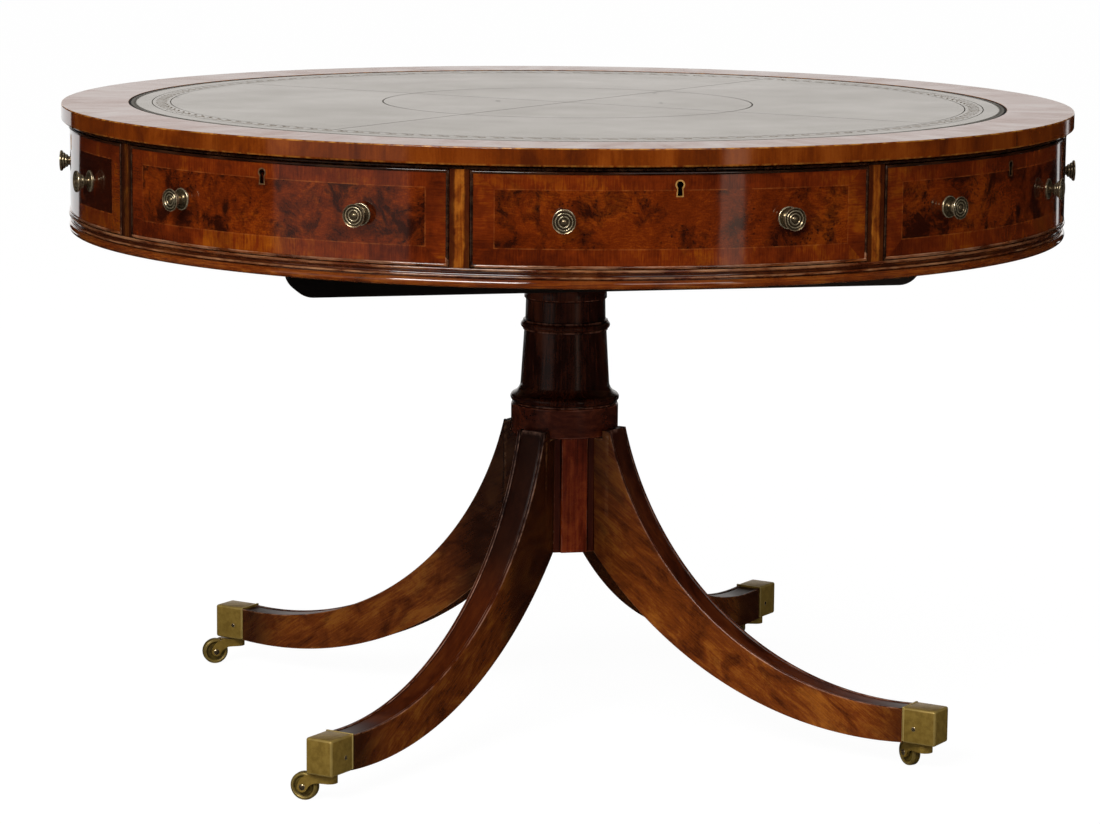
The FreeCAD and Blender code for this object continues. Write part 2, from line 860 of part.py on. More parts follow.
def make_leg(corner, bearing):
    """A sabre leg: two arcs, a taper in width, a tenon in the cap and a reeded upper face."""
    body = new_body(f"{corner}_leg")
    mouth = cell("cap_start")
    upper_x = cell("upper_arc_centre")
    upper_z = cell("upper_arc_level")
    upper_radius = cell("upper_arc_radius")
    lower_x = cell("lower_arc_centre")
    lower_z = cell("lower_arc_level")
    lower_radius = cell("lower_arc_radius")
    head = cell("leg_head")
    root_x = cell("leg_root")
    notch = cell("leg_notch")
    shoulder = cell("block_shoulder")
    tenon_low = cell("cap_underside") + cell("cap_floor")
    tenon_high = cell("cap_top") - cell("cap_wall")
    tenon_end = mouth + cell("cap_length") - cell("cap_wall") - 2

    side = new_sketch(body, RADIAL_PLANE)
    outline(side, [
        (root_x, shoulder),
        (root_x, lower_z - chord(lower_radius, lower_x - root_x), lower_radius),
        (mouth, lower_z - chord(lower_radius, mouth - lower_x)),
        (mouth, tenon_low),
        (tenon_end, tenon_low),
        (tenon_end, tenon_high),
        (mouth, tenon_high),
        (mouth, upper_z - chord(upper_radius, mouth - upper_x), -upper_radius),
        (upper_x - chord(upper_radius, upper_z - head), head),
        (notch, head),
        (notch, shoulder),
    ])
    width = cell("leg_root_width")
    pad(body, side, width, Midplane=True)

    plan = new_sketch(body, GROUND_PLANE)
    root_half = width * 0.5
    toe_half = cell("leg_toe_width") * 0.5
    tenon_half = cell("cap_width") * 0.5 - cell("cap_wall")
    for hand in (1, -1):
        outline(plan, [
            (root_x, root_half * hand),
            (mouth, toe_half * hand),
            (mouth, tenon_half * hand),
            (tenon_end + 10, tenon_half * hand),
            (tenon_end + 10, (root_half + 5) * hand),
            (root_x, (root_half + 5) * hand),
        ])
    cut(body, "Pocket", plan, Type="ThroughAll", Midplane=True)

    reed = new_sketch(body, CROSS_PLANE, upper_x)
    bind(reed, "AttachmentOffset.Base.y", upper_z)
    half_panel = cell("reed_panel_width") * 0.5
    rectangle(reed, -half_panel, half_panel, -(upper_radius + cell("reed_panel_sink")), -(upper_radius - 3))
    settings = {"ReferenceAxis": (reed, ["H_Axis"]), "Angle": as_size(168.0), "Midplane": True}
    cut(body, "Groove", reed, **settings)
    keep(f"{corner}_leg", body, bearing)


def edges_where(shape, test):
    """Names of the edges of a shape whose middle passes a test."""
    names = []
    for number, edge in enumerate(shape.Edges, start=1):
        if test(edge.CenterOfMass):
            names.append(f"Edge{number}")
    return names


def make_cap(corner, bearing):
    """A cast brass toe cap: soft-edged box, open towards the leg, with a floor for the castor's stem."""
    body = new_body(f"{corner}_toe_cap")
    start = cell("cap_start")
    end = start + cell("cap_length")
    half = cell("cap_width") * 0.5
    low = cell("cap_underside")
    high = cell("cap_top")
    wall = cell("cap_wall")
    plan = new_sketch(body, GROUND_PLANE, low)
    rectangle(plan, start, end, -half, half)
    pad(body, plan, high - low)

    solid = body.Tip
    far = end.value - 0.1
    top_level = high.value - 0.1
    side_plane = half.value - 0.1
    names = edges_where(
        solid.Shape,
        lambda middle: (middle.x > far and (middle.z > top_level or abs(middle.y) > side_plane))
        or (middle.z > top_level and abs(middle.y) > side_plane),
    )
    soft = body.newObject("PartDesign::Fillet", f"{body.Name}_fillet")
    soft.Base = (solid, names)
    bind(soft, "Radius", cell("cap_round"))
    body.Tip = soft
    document.recompute()

    lip = new_sketch(body, CROSS_PLANE, start)
    rim = cell("cap_lip")
    rectangle(lip, -(half + rim), half + rim, low + 2, high + rim)
    pad(body, lip, cell("cap_lip_width"))
    cavity = new_sketch(body, CROSS_PLANE, start)
    rectangle(cavity, -(half - wall), half - wall, low + cell("cap_floor"), high - wall)
    cut(body, "Pocket", cavity, Length=end - start - wall - 2, Reversed=True)
    stem = new_sketch(body, GROUND_PLANE, low)
    circle(stem, cell("castor_reach"), 0, cell("castor_stem_radius") + cell("bored_clearance"))
    cut(body, "Pocket", stem, Length=cell("cap_floor"), Reversed=True)
    keep(f"{corner}_toe_cap", body, bearing)


def make_cap_screws():
    """Two small round-headed screws in each cap, one on either side."""
    heads = []
    half = cell("cap_width") * 0.5
    level = cell("cap_underside") + 18.0
    for corner, bearing in LEG_BEARINGS.items():
        for side in (-1, 1):
            head = document.addObject("Part::Cylinder", f"{corner}_cap_screw")
            bind(head, "Radius", cell("screw_radius"))
            bind(head, "Height", cell("screw_height"))
            spot = FreeCAD.Vector(DRIVING["cap_start"] + 15.0, side * half.value, level.value)
            lying = FreeCAD.Placement(spot, FreeCAD.Rotation(FreeCAD.Vector(1, 0, 0), -90 * side))
            head.Placement = about_axis(bearing) * lying
            heads.append(head)
    keep("cap_screws", group("cap_screws", heads))


# ---------------------------------------------------------------- castors

def castor_place(corner, bearing):
    """Where a castor's pivot stands on the floor plan, and which way its wheel trails."""
    reach = DRIVING["castor_reach"]
    turn = math.radians(bearing)
    spot = FreeCAD.Vector(reach * math.cos(turn), reach * math.sin(turn), 0)
    heading = DRIVING[f"heading_{corner}"] - 90.0
    return FreeCAD.Placement(spot, FreeCAD.Rotation(FreeCAD.Vector(0, 0, 1), heading))


def make_horn(corner, bearing):
    """A brass horn: round boss and stem, two curved cheeks and the riveted axle between them."""
    body = new_body(f"{corner}_castor_horn")
    trail = cell("castor_trail")
    axle_level = cell("wheel_radius")
    head = cell("castor_head")
    boss = cell("castor_boss_radius")
    boss_low = head - cell("castor_boss_height")
    cheek = cell("castor_cheek")
    eye = cell("castor_eye")
    side = new_sketch(body, RADIAL_PLANE)
    outline(side, [
        (-1.5, boss_low),
        (boss + 2.5, boss_low, -16.0),
        (trail - eye * 0.8, axle_level - eye * 0.6, eye),
        (trail + eye, axle_level, 19.0),
        (boss + 6.0, head - 1.0),
        (-1.5, head - 1.0),
    ])
    pad(body, side, cheek * 2, Midplane=True)
    boss_plan = new_sketch(body, GROUND_PLANE, boss_low)
    circle(boss_plan, 0, 0, boss)
    pad(body, boss_plan, cell("castor_boss_height"))
    slot = new_sketch(body, RADIAL_PLANE)
    circle(slot, trail, axle_level, cell("wheel_radius") + 0.9)
    cut(body, "Pocket", slot, Length=(cell("wheel_half_width") + 0.5) * 2, Midplane=True)
    axle = new_sketch(body, RADIAL_PLANE)
    circle(axle, trail, axle_level, cell("castor_axle_radius"))
    pad(body, axle, (cheek + 0.8) * 2, Midplane=True)
    stem = new_sketch(body, GROUND_PLANE, head)
    circle(stem, 0, 0, cell("castor_stem_radius"))
    pad(body, stem, cell("cap_underside") + cell("cap_floor") - 0.5 - head)
    keep(f"{corner}_castor_horn", body)
    body.Placement = castor_place(corner, bearing)


def make_wheel(corner, bearing):
    """A turned brass wheel with a rounded tread, a thick rim and a hub."""
    body = new_body(f"{corner}_castor_wheel")
    rim = cell("wheel_radius")
    half = cell("wheel_half_width")
    bore = cell("castor_axle_radius") + 0.04
    sketch = new_sketch(body, CROSS_PLANE)
    outline(sketch, [
        (-half, bore),
        (half, bore),
        (half, 5.2),
        (half - 2.6, 6.4),
        (half - 2.6, rim - 5.0),
        (half - 0.8, rim - 3.6),
        (half - 0.8, rim - 2.0, 2.2),
        (half - 2.8, rim),
        (-(half - 2.8), rim, 2.2),
        (-(half - 0.8), rim - 2.0),
        (-(half - 0.8), rim - 3.6),
        (-(half - 2.6), rim - 5.0),
        (-(half - 2.6), 6.4),
        (-half, 5.2),
    ])
    revolve(body, sketch, axis="H_Axis")
    keep(f"{corner}_castor_wheel", body)
    lift = FreeCAD.Placement(
        FreeCAD.Vector(DRIVING["castor_trail"], 0, DRIVING["wheel_radius"]), FreeCAD.Rotation()
    )
    body.Placement = castor_place(corner, bearing) * lift


# ---------------------------------------------------------------- assembly and export

def build():
    make_top()
    make_carcass()
    make_stiles()
    make_partitions()
    make_dummies()
    for place, bearing in DRAWER_BEARINGS.items():
        make_drawer(place, bearing)
    make_column()
    make_leg_block()
    make_platform()
    make_bearers()
    for corner, bearing in LEG_BEARINGS.items():
        make_leg(corner, bearing)
        make_cap(corner, bearing)
        make_horn(corner, bearing)
        make_wheel(corner, bearing)
    make_cap_screws()
    document.recompute()


def check():
    """Stop if any object failed or any piece isn't a sound solid."""
    for thing in document.Objects:
        if "Invalid" in thing.State or "Error" in thing.State:
            raise RuntimeError(f"{thing.Label} failed: {thing.State}")
    for node, thing in nodes.items():
        shape = thing.Shape
        if shape.isNull() or not shape.isValid() or not shape.Solids:
            raise RuntimeError(f"{node} has no sound solid")


def export():
    os.makedirs("parts", exist_ok=True)
    for node, thing in nodes.items():
        thing.Shape.exportStep(f"parts/{node}.step")
    print(f"{len(nodes)} nodes, {sum(len(thing.Shape.Solids) for thing in nodes.values())} solids")


build()
check()
export()
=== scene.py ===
# %% [markdown]
# # A revolving drum table, piece by piece
# The frame that is loaded here holds the solids of the table, in metres, with its axis on Z and its feet on
# the floor. Every cell after this one dresses a piece of it: its shape first, then its finish. A piece that
# replaces a solid keeps that solid's place, so that the drum can turn and the drawers can slide.

# %% Load the frame
import math

import bpy
import bmesh
from mathutils import Matrix, Vector


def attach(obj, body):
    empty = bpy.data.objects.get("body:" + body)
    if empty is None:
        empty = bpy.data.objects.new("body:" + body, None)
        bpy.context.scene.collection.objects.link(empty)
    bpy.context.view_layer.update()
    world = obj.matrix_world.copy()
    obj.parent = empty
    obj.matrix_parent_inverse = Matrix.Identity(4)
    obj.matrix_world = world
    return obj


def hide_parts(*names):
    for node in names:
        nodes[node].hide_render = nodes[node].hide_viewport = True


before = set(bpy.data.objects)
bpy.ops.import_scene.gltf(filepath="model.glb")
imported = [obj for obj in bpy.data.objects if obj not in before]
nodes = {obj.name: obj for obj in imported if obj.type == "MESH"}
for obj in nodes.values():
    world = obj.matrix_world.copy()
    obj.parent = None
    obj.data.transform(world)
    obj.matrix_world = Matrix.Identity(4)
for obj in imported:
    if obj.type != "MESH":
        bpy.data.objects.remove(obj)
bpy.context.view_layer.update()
scene = bpy.context.scene

# %% [markdown]
# ## The camera
# A long lens from four and a half metres away keeps the ellipse of the round top flat and the legs upright.
# The camera stands a little above the top and looks slightly down, turned round the table so that one drawer
# faces a little to the right.

# %% Camera
def placed(name, data):
    """A new object in the scene."""
    made = bpy.data.objects.new(name, data)
    scene.collection.objects.link(made)
    return made


STAND, LENS, SENSOR = (-0.9083, -4.4366, 1.1269), 122.05, 36.0
HEADING, DOWN, ROLL = math.radians(11.344), math.radians(9.364), math.radians(0.5285)
camera_data = bpy.data.cameras.new("camera")
camera_data.sensor_width, camera_data.lens, camera_data.clip_end = SENSOR, LENS, 200.0
camera = placed("camera", camera_data)
aim = Matrix.Rotation(-HEADING, 4, "Z") @ Matrix.Rotation(math.pi / 2 - DOWN, 4, "X")
camera.matrix_world = Matrix.Translation(STAND) @ aim @ Matrix.Rotation(ROLL, 4, "Z")
scene.camera = camera
scene.view_settings.view_transform = "Standard"
print("camera", round(camera.location.length, 3), "m from the table's axis at the floor")

# %% [markdown]
# ## The studio
# Polished furniture looks its best in a white room with a dark cloth on the floor. The flat top is seen at a
# flat angle and mirrors the white wall behind it, while the cloth keeps the upright fronts from going milky.
# A dark curtain hangs all round for the same reason: the upper faces of the legs lean back and would mirror a
# white room. It leaves one low opening behind the table, where the top looks. The floor is pale to the camera
# and keeps a soft shadow.

# %% A helper that adds a node
def add(tree, kind, inputs=None, **settings):
    """Add a node, set it, fill or link its inputs, and give back its outputs."""
    made = tree.nodes.new(kind)
    for setting, value in settings.items():
        setattr(made, setting, value)
    for socket, value in (inputs or {}).items():
        if isinstance(value, bpy.types.NodeSocket):
            tree.links.new(value, made.inputs[socket])
        else:
            made.inputs[socket].default_value = value
    return made.outputs


def linear(colour):
    """The linear colour of an sRGB hex value."""
    channels = [int(colour[start:start + 2], 16) / 255 for start in (1, 3, 5)]
    return (*[c / 12.92 if c <= 0.04045 else ((c + 0.055) / 1.055) ** 2.4 for c in channels], 1.0)


def new_finish(name):
    """A material with an empty tree."""
    finish = bpy.data.materials.new(name)
    finish.use_nodes = True
    finish.node_tree.nodes.clear()
    return finish, finish.node_tree


def seen_or_mirrored(tree, path):
    """1 for a ray of the camera and for one that was mirrored or let through, 0 for one that only lights."""
    seen = add(tree, "ShaderNodeMath", {0: path["Is Camera Ray"], 1: path["Is Glossy Ray"]},
               operation="MAXIMUM")[0]
    return add(tree, "ShaderNodeMath", {0: seen, 1: path["Is Transmission Ray"]}, operation="MAXIMUM")[0]


print("helpers ready")

# %% World: white for the camera and for reflections, softer as light
SKY_LIGHT = 0.42
world = bpy.data.worlds.new("studio")
world.use_nodes = True
world.node_tree.nodes.clear()
scene.world = world
sky = world.node_tree
path = add(sky, "ShaderNodeLightPath")
strength = add(sky, "ShaderNodeMapRange", {"Value": seen_or_mirrored(sky, path), "To Min": SKY_LIGHT,
                                           "To Max": 1.0})[0]
warm = add(sky, "ShaderNodeMix", {0: path["Is Glossy Ray"], 6: (1.0, 1.0, 1.0, 1.0),
                                  7: (1.0, 0.955, 0.925, 1.0)},
           data_type="RGBA")[2]
white = add(sky, "ShaderNodeBackground", {"Color": warm, "Strength": strength})[0]
add(sky, "ShaderNodeOutputWorld", {"Surface": white})
print("world lights at", SKY_LIGHT)

# %% Floor
def flat_sheet(name, corners, height, finish):
    """A flat polygon at one height."""
    mesh = bpy.data.meshes.new(name)
    mesh.from_pydata([(x, y, height) for x, y in corners], [], [list(range(len(corners)))])
    mesh.materials.append(finish)
    sheet = placed(name, mesh)
    return sheet


paper, tree = new_finish("pale_studio_floor")
path = add(tree, "ShaderNodeLightPath")
share = add(tree, "ShaderNodeMath", {0: seen_or_mirrored(tree, path), 1: 0.88}, operation="MULTIPLY")[0]
matt = add(tree, "ShaderNodeBsdfDiffuse", {"Color": linear("#D8D8D8")})[0]
glow = add(tree, "ShaderNodeEmission", {"Color": (1.0, 1.0, 1.0, 1.0), "Strength": 1.09})[0]
mixed = add(tree, "ShaderNodeMixShader", {0: share, 1: matt, 2: glow})[0]
add(tree, "ShaderNodeOutputMaterial", {"Surface": mixed})
floor = flat_sheet("floor", [(-60, -60), (60, -60), (60, 60), (-60, 60)], 0.0, paper)
print("floor", [round(side) for side in floor.dimensions])

# %% Dark cloth that only polished surfaces see
cloth, tree = new_finish("dark_cloth")
matt = add(tree, "ShaderNodeBsdfDiffuse", {"Color": linear("#1C1816")})[0]
add(tree, "ShaderNodeOutputMaterial", {"Surface": matt})


def only_mirrored(piece):
    """Let a piece of the stage show in polish and nowhere else."""
    for ray in ("visible_camera", "visible_diffuse", "visible_shadow", "visible_transmission"):
        setattr(piece, ray, False)


def cloth_sector(name, first, last, reach):
    """A sector of cloth on the floor, between two bearings seen from the table."""
    turns = [math.radians(first + (last - first) * step / 24) for step in range(25)]
    rim = [(reach * math.cos(turn), reach * math.sin(turn)) for turn in turns]
    only_mirrored(flat_sheet(name, [(0.0, 0.0), *rim], 0.0015, cloth))


# bearings round the table are counted from the camera's, in degrees
VIEW = -101.57
cloth_sector("cloth_front", VIEW - 146.0, VIEW + 148.5, 14.0)
cloth_sector("cloth_back", VIEW + 151.5, VIEW + 180.0, 14.0)
cloth_sector("cloth_near", VIEW + 148.5, VIEW + 214.0, 4.5)
print("cloth laid round the table, beyond 4.5 m with a slot at the right and an open side at the left")

# %% Dark curtain all round, with a white opening low behind the table
BEARINGS, RISES, WINDOW = range(0, 360, 10), (0, 7.5, 15, 22, 32, 42, 54, 66, 78, 90), range(160, 200, 10)
CURTAIN_REACH = 13.0
points = []
for rise in map(math.radians, RISES):
    reach, height = CURTAIN_REACH * math.cos(rise), CURTAIN_REACH * math.sin(rise)
    for turn in (math.radians(VIEW + bearing) for bearing in BEARINGS):
        points.append((reach * math.cos(turn), reach * math.sin(turn), height))
around, faces = len(BEARINGS), []
for level in range(len(RISES) - 1):
    for number, bearing in enumerate(BEARINGS):
        if level < 2 and bearing in WINDOW:
            continue
        following = (number + 1) % around
        faces.append([level * around + number, level * around + following, (level + 1) * around + following,
                      (level + 1) * around + number])
curtain_mesh = bpy.data.meshes.new("dark_curtain")
curtain_mesh.from_pydata(points, [], faces)
curtain_mesh.materials.append(cloth)
curtain = placed("dark_curtain", curtain_mesh)
only_mirrored(curtain)
print("curtain of", len(faces), "squares")

# %% Lamps
AIM_HEIGHT = 0.55


def lamp(name, bearing, distance, height, size, power, colour=(1.0, 1.0, 1.0)):
    """A soft square lamp that looks at the table."""
    data = bpy.data.lights.new(name, "AREA")
    data.shape = "RECTANGLE"
    data.size, data.size_y = size
    data.energy, data.color = power, colour
    light = placed(name, data)
    turn = math.radians(VIEW + bearing)
    light.location = (distance * math.cos(turn), distance * math.sin(turn), height)
    light.rotation_euler = (Vector((0, 0, AIM_HEIGHT)) - light.location).to_track_quat("-Z", "Y").to_euler()


lamp("key", -24.0, 3.4, 2.6, (1.8, 1.2), 94.0)
lamp("fill", 24.0, 3.6, 2.4, (1.6, 1.2), 12.0)
lamp("top", 180.0, 0.8, 3.6, (2.4, 2.4), 18.0)
lamp("strip_right", 33.4, 3.3, 1.05, (0.30, 2.0), 2.0, colour=(1.0, 0.74, 0.58))
lamp("strip_left", -47.5, 3.6, 1.05, (2.05, 2.0), 4.2, colour=(1.0, 0.84, 0.76))
print("five lamps")

# %% [markdown]
# ## Measuring and shaping helpers
# A cabinet maker works from a section: a line drawn on paper that a lathe, a scratch stock or a moulding
# plane then carries round or along the work. The helpers here draw such sections in millimetres, ease their
# sharp corners, and keep two things at every point of a mesh. One is where the point lies in the wood, with
# the first axis along the grain, so that figure runs the way it was sawn. The other is how sharply the
# surface bends there, from -1 in a corner to 1 on an arris: the wood finishes darken corners with it, for wax
# and dust and as painted shade, and lighten arrises, for the wear of hands and as a painted highlight.

# %% Sizes that several pieces share, in millimetres
MM = 0.001
TOP_RADIUS, TOP_LOW, TOP_HIGH = 610.0, 742.0, 762.0
LEATHER_RADIUS, LEATHER_LOW, LEATHER_HIGH = 529.0, 760.0, 761.5
FACE = 600.0
MOULDING_LOW, MOULDING_HIGH, RAIL_LOW = 611.0, 631.8, 737.0
FRONT_LOW, FRONT_HIGH = 632.7, 736.2
FRONT_MIDDLE = (FRONT_LOW + FRONT_HIGH) / 2
DRAWERS = {"front": -90.0, "right": 0.0, "back": 90.0, "left": 180.0}
DUMMIES = {"front_right": -45.0, "back_right": 45.0, "back_left": 135.0, "front_left": -135.0}
STILE_BEARING, FRONTS_APART = 22.5, 45.0
BLOCK_LOW, BAND_LOW, COLUMN_LOW, COLUMN_HIGH = 215.0, 357.0, 394.0, 575.0
LEG_ROOT, HALF_ROOT = 55.0, 20.0
# how far the pedestal is turned against the drum, in degrees
TURNED_BY = 1.9
print("fronts from", FRONT_LOW, "to", FRONT_HIGH, "mm above the floor")

# %% Sections: arcs and eased corners
def arc(start, end, radius, steps=8):
    """Points from start to end. They bulge to the right of the way they go, or to the left if radius is
    negative."""
    first, last = Vector(start), Vector(end)
    half = (last - first) / 2
    side = Vector((-half.y, half.x)).normalized() * math.copysign(1, radius)
    centre = first + half + side * math.sqrt(max(radius * radius - half.length_squared, 0.0))
    turn_0 = math.atan2(*(first - centre).yx)
    turn_1 = math.atan2(*(last - centre).yx)
    if radius > 0 and turn_1 < turn_0:
        turn_1 += 2 * math.pi
    if radius < 0 and turn_1 > turn_0:
        turn_1 -= 2 * math.pi
    turns = [turn_0 + (turn_1 - turn_0) * step / steps for step in range(steps + 1)]
    reach = abs(radius)
    return [(centre.x + reach * math.cos(turn), centre.y + reach * math.sin(turn)) for turn in turns]


def eased(section, easing=0.35, closed=True, steps=3):
    """Round the corners of a section that turn by more than 35 degrees."""
    corners = [Vector(point) for point in section]
    soft = []
    for number, corner in enumerate(corners):
        before, after = corners[number - 1], corners[(number + 1) % len(corners)]
        inside = closed or 0 < number < len(corners) - 1
        come, go = corner - before, after - corner
        if not inside or come.length < 1e-6 or go.length < 1e-6 or come.angle(go) < math.radians(35):
            soft.append(tuple(corner))
            continue
        reach = min(easing, come.length * 0.4, go.length * 0.4)
        start, end = corner - come.normalized() * reach, corner + go.normalized() * reach
        for step in range(steps + 1):
            share = step / steps
            soft.append(tuple(start * (1 - share) ** 2 + corner * 2 * share * (1 - share) + end * share ** 2))
    return soft


def supported(section, closed, margin=0.6):
    """Add points close to the ends of long straight runs, so that smooth shading stays flat between them."""
    held = []
    for number, point in enumerate(section):
        held.append(tuple(point))
        if not closed and number == len(section) - 1:
            break
        here, following = Vector(point), Vector(section[(number + 1) % len(section)])
        run = following - here
        if run.length > margin * 5:
            held.append(tuple(here + run.normalized() * margin))
            held.append(tuple(following - run.normalized() * margin))
    return held


print("a quarter arc of 5 mm has", len(arc((5, 0), (0, 5), 5)), "points")

# %% A mesh with its grain and its wear
def finished(mesh, grain, sharp=40.0):
    """Close a mesh's making: faces out, grain and edge bend kept at the points, smooth where it is nearly
    flat.
    """
    for title in ("rubbed", "grain"):
        if title in mesh.attributes:
            mesh.attributes.remove(mesh.attributes[title])
    shape = bmesh.new()
    shape.from_mesh(mesh)
    if shape.calc_volume(signed=True) < 0:
        bmesh.ops.reverse_faces(shape, faces=shape.faces)
    wear_and_highlight = []
    for point in shape.verts:
        bend = 0.0
        for edge in point.link_edges:
            if len(edge.link_faces) == 2:
                spread = sum(face.calc_area() for face in edge.link_faces) / 2 / max(edge.calc_length(), 1e-7)
                bend_here = edge.calc_face_angle_signed() / max(spread, 2e-4) * MM
                bend = bend_here if abs(bend_here) > abs(bend) else bend
        wear_and_highlight.append(max(-1.0, min(1.0, bend * 0.8)))
    shape.to_mesh(mesh)
    shape.free()
    mesh.attributes.new("rubbed", "FLOAT", "POINT").data.foreach_set("value", wear_and_highlight)
    places = mesh.attributes.new("grain", "FLOAT_VECTOR", "POINT")
    places.data.foreach_set("vector", [part for point in mesh.vertices for part in grain(point.co)])
    mesh.shade_smooth()
    mesh.set_sharp_from_angle(angle=math.radians(sharp))
    return mesh


def upright(p):
    """Grain that stands upright."""
    return (p.z, p.x, p.y)


def lengthways(p):
    """Grain along a piece that lies along X."""
    return (p.x, p.z, p.y)


def as_it_stands(p):
    """Grain along X, with each point left as it is."""
    return tuple(p)


def clear_away(*spares):
    """Remove objects that were only needed for the making."""
    for spare in spares:
        bpy.data.objects.remove(spare)


def new_piece(name, points, faces, grain=upright, sharp=40.0):
    """An object from points in millimetres."""
    mesh = bpy.data.meshes.new(name)
    mesh.from_pydata([[part * MM for part in point] for point in points], [], faces)
    return placed(name, finished(mesh, grain, sharp))


def turned(name, section, steps=96, ring=False, grain=upright):
    """Carry a section of (radius, height) round Z. A radius of 0 is a pole."""
    points, rings = [], []
    for radius, height in supported(section, ring):
        if radius < 1e-6:
            rings.append([len(points)] * steps)
            points.append((0.0, 0.0, height))
            continue
        rings.append([len(points) + step for step in range(steps)])
        for step in range(steps):
            turn = 2 * math.pi * step / steps
            points.append((radius * math.cos(turn), radius * math.sin(turn), height))
    faces = []
    for low, high in zip(rings, rings[1:] + (rings[:1] if ring else [])):
        for step in range(steps):
            following = (step + 1) % steps
            corners = [low[step], low[following], high[following], high[step]]
            corners = [c for place, c in enumerate(corners) if c not in corners[:place]]
            if len(corners) > 2:
                faces.append(corners)
    return new_piece(name, points, faces, grain)


def round_grain(radius):
    """Grain across a ring: along its section, the same round the ring however wide the ring is."""
    def place(p):
        reach = math.hypot(p.x, p.y) or 1e-9
        return (p.z - reach, p.x / reach * radius * MM, p.y / reach * radius * MM)
    return place


def along_ring(p):
    """Grain that runs round the table, with its lines one above the other."""
    return (p.x, p.y / 10, p.z - math.hypot(p.x, p.y))


def measure_across(mesh, bearing, apart):
    """Keep how far each point is to the side of the nearest of the bearings, so many degrees apart."""
    offsets, step = [], math.radians(apart)
    for point in mesh.vertices:
        turn = math.atan2(point.co.y, point.co.x) - math.radians(bearing)
        offsets.append(math.hypot(point.co.x, point.co.y) * math.sin(turn - round(turn / step) * step))
    mesh.attributes.new("across", "FLOAT", "POINT").data.foreach_set("value", offsets)


def paint_shade(mesh, how_much):
    """Keep how much painted shade each point has, from 0 to 1."""
    ages = [how_much(point.co) for point in mesh.vertices]
    mesh.attributes.new("aged", "FLOAT", "POINT").data.foreach_set("value", ages)


def dress(piece, body, slot, finish=None, *solids):
    """Give a piece its finish, its body and the solids that it stands for. slot is not used."""
    if finish is not None:
        piece.data.materials.clear()
        piece.data.materials.append(finish)
    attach(piece, body)
    if solids:
        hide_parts(*solids)


print("helpers for turned work ready")

# %% [markdown]
# ## Finishes: polished woods
# Old polished wood is a dark, uneven dye under a clear film. The figure has three sizes: growth lines well
# under a millimetre apart, streaks some centimetres long, and patches as wide as a hand. The film is almost a
# mirror, so the wood shows the room at flat angles and its own colour face on. Every arris is drawn lighter,
# for the wear of hands and dusters and as a painted highlight, and every corner darker, for wax and dust and
# as painted shade. Some pieces carry painted shade of their own at their points, and the stiles and the block
# have painted shade down their sides. One function builds these woods, since they differ only in colours and
# in the size of their figure.

# %% Polished wood
def three_tones(tree, tone, dark_at, light_at, dark, middle, light):
    """Colours for a figure: dark where its tone is dark_at, middle at 0.5 and light at light_at."""
    low = add(tree, "ShaderNodeMapRange", {"Value": tone, "From Min": dark_at, "From Max": 0.5})[0]
    high = add(tree, "ShaderNodeMapRange", {"Value": tone, "From Min": 0.5, "From Max": light_at})[0]
    colour = add(tree, "ShaderNodeMix", {0: low, 6: linear(dark), 7: linear(middle)}, data_type="RGBA")[2]
    return add(tree, "ShaderNodeMix", {0: high, 6: colour, 7: linear(light)}, data_type="RGBA")[2]


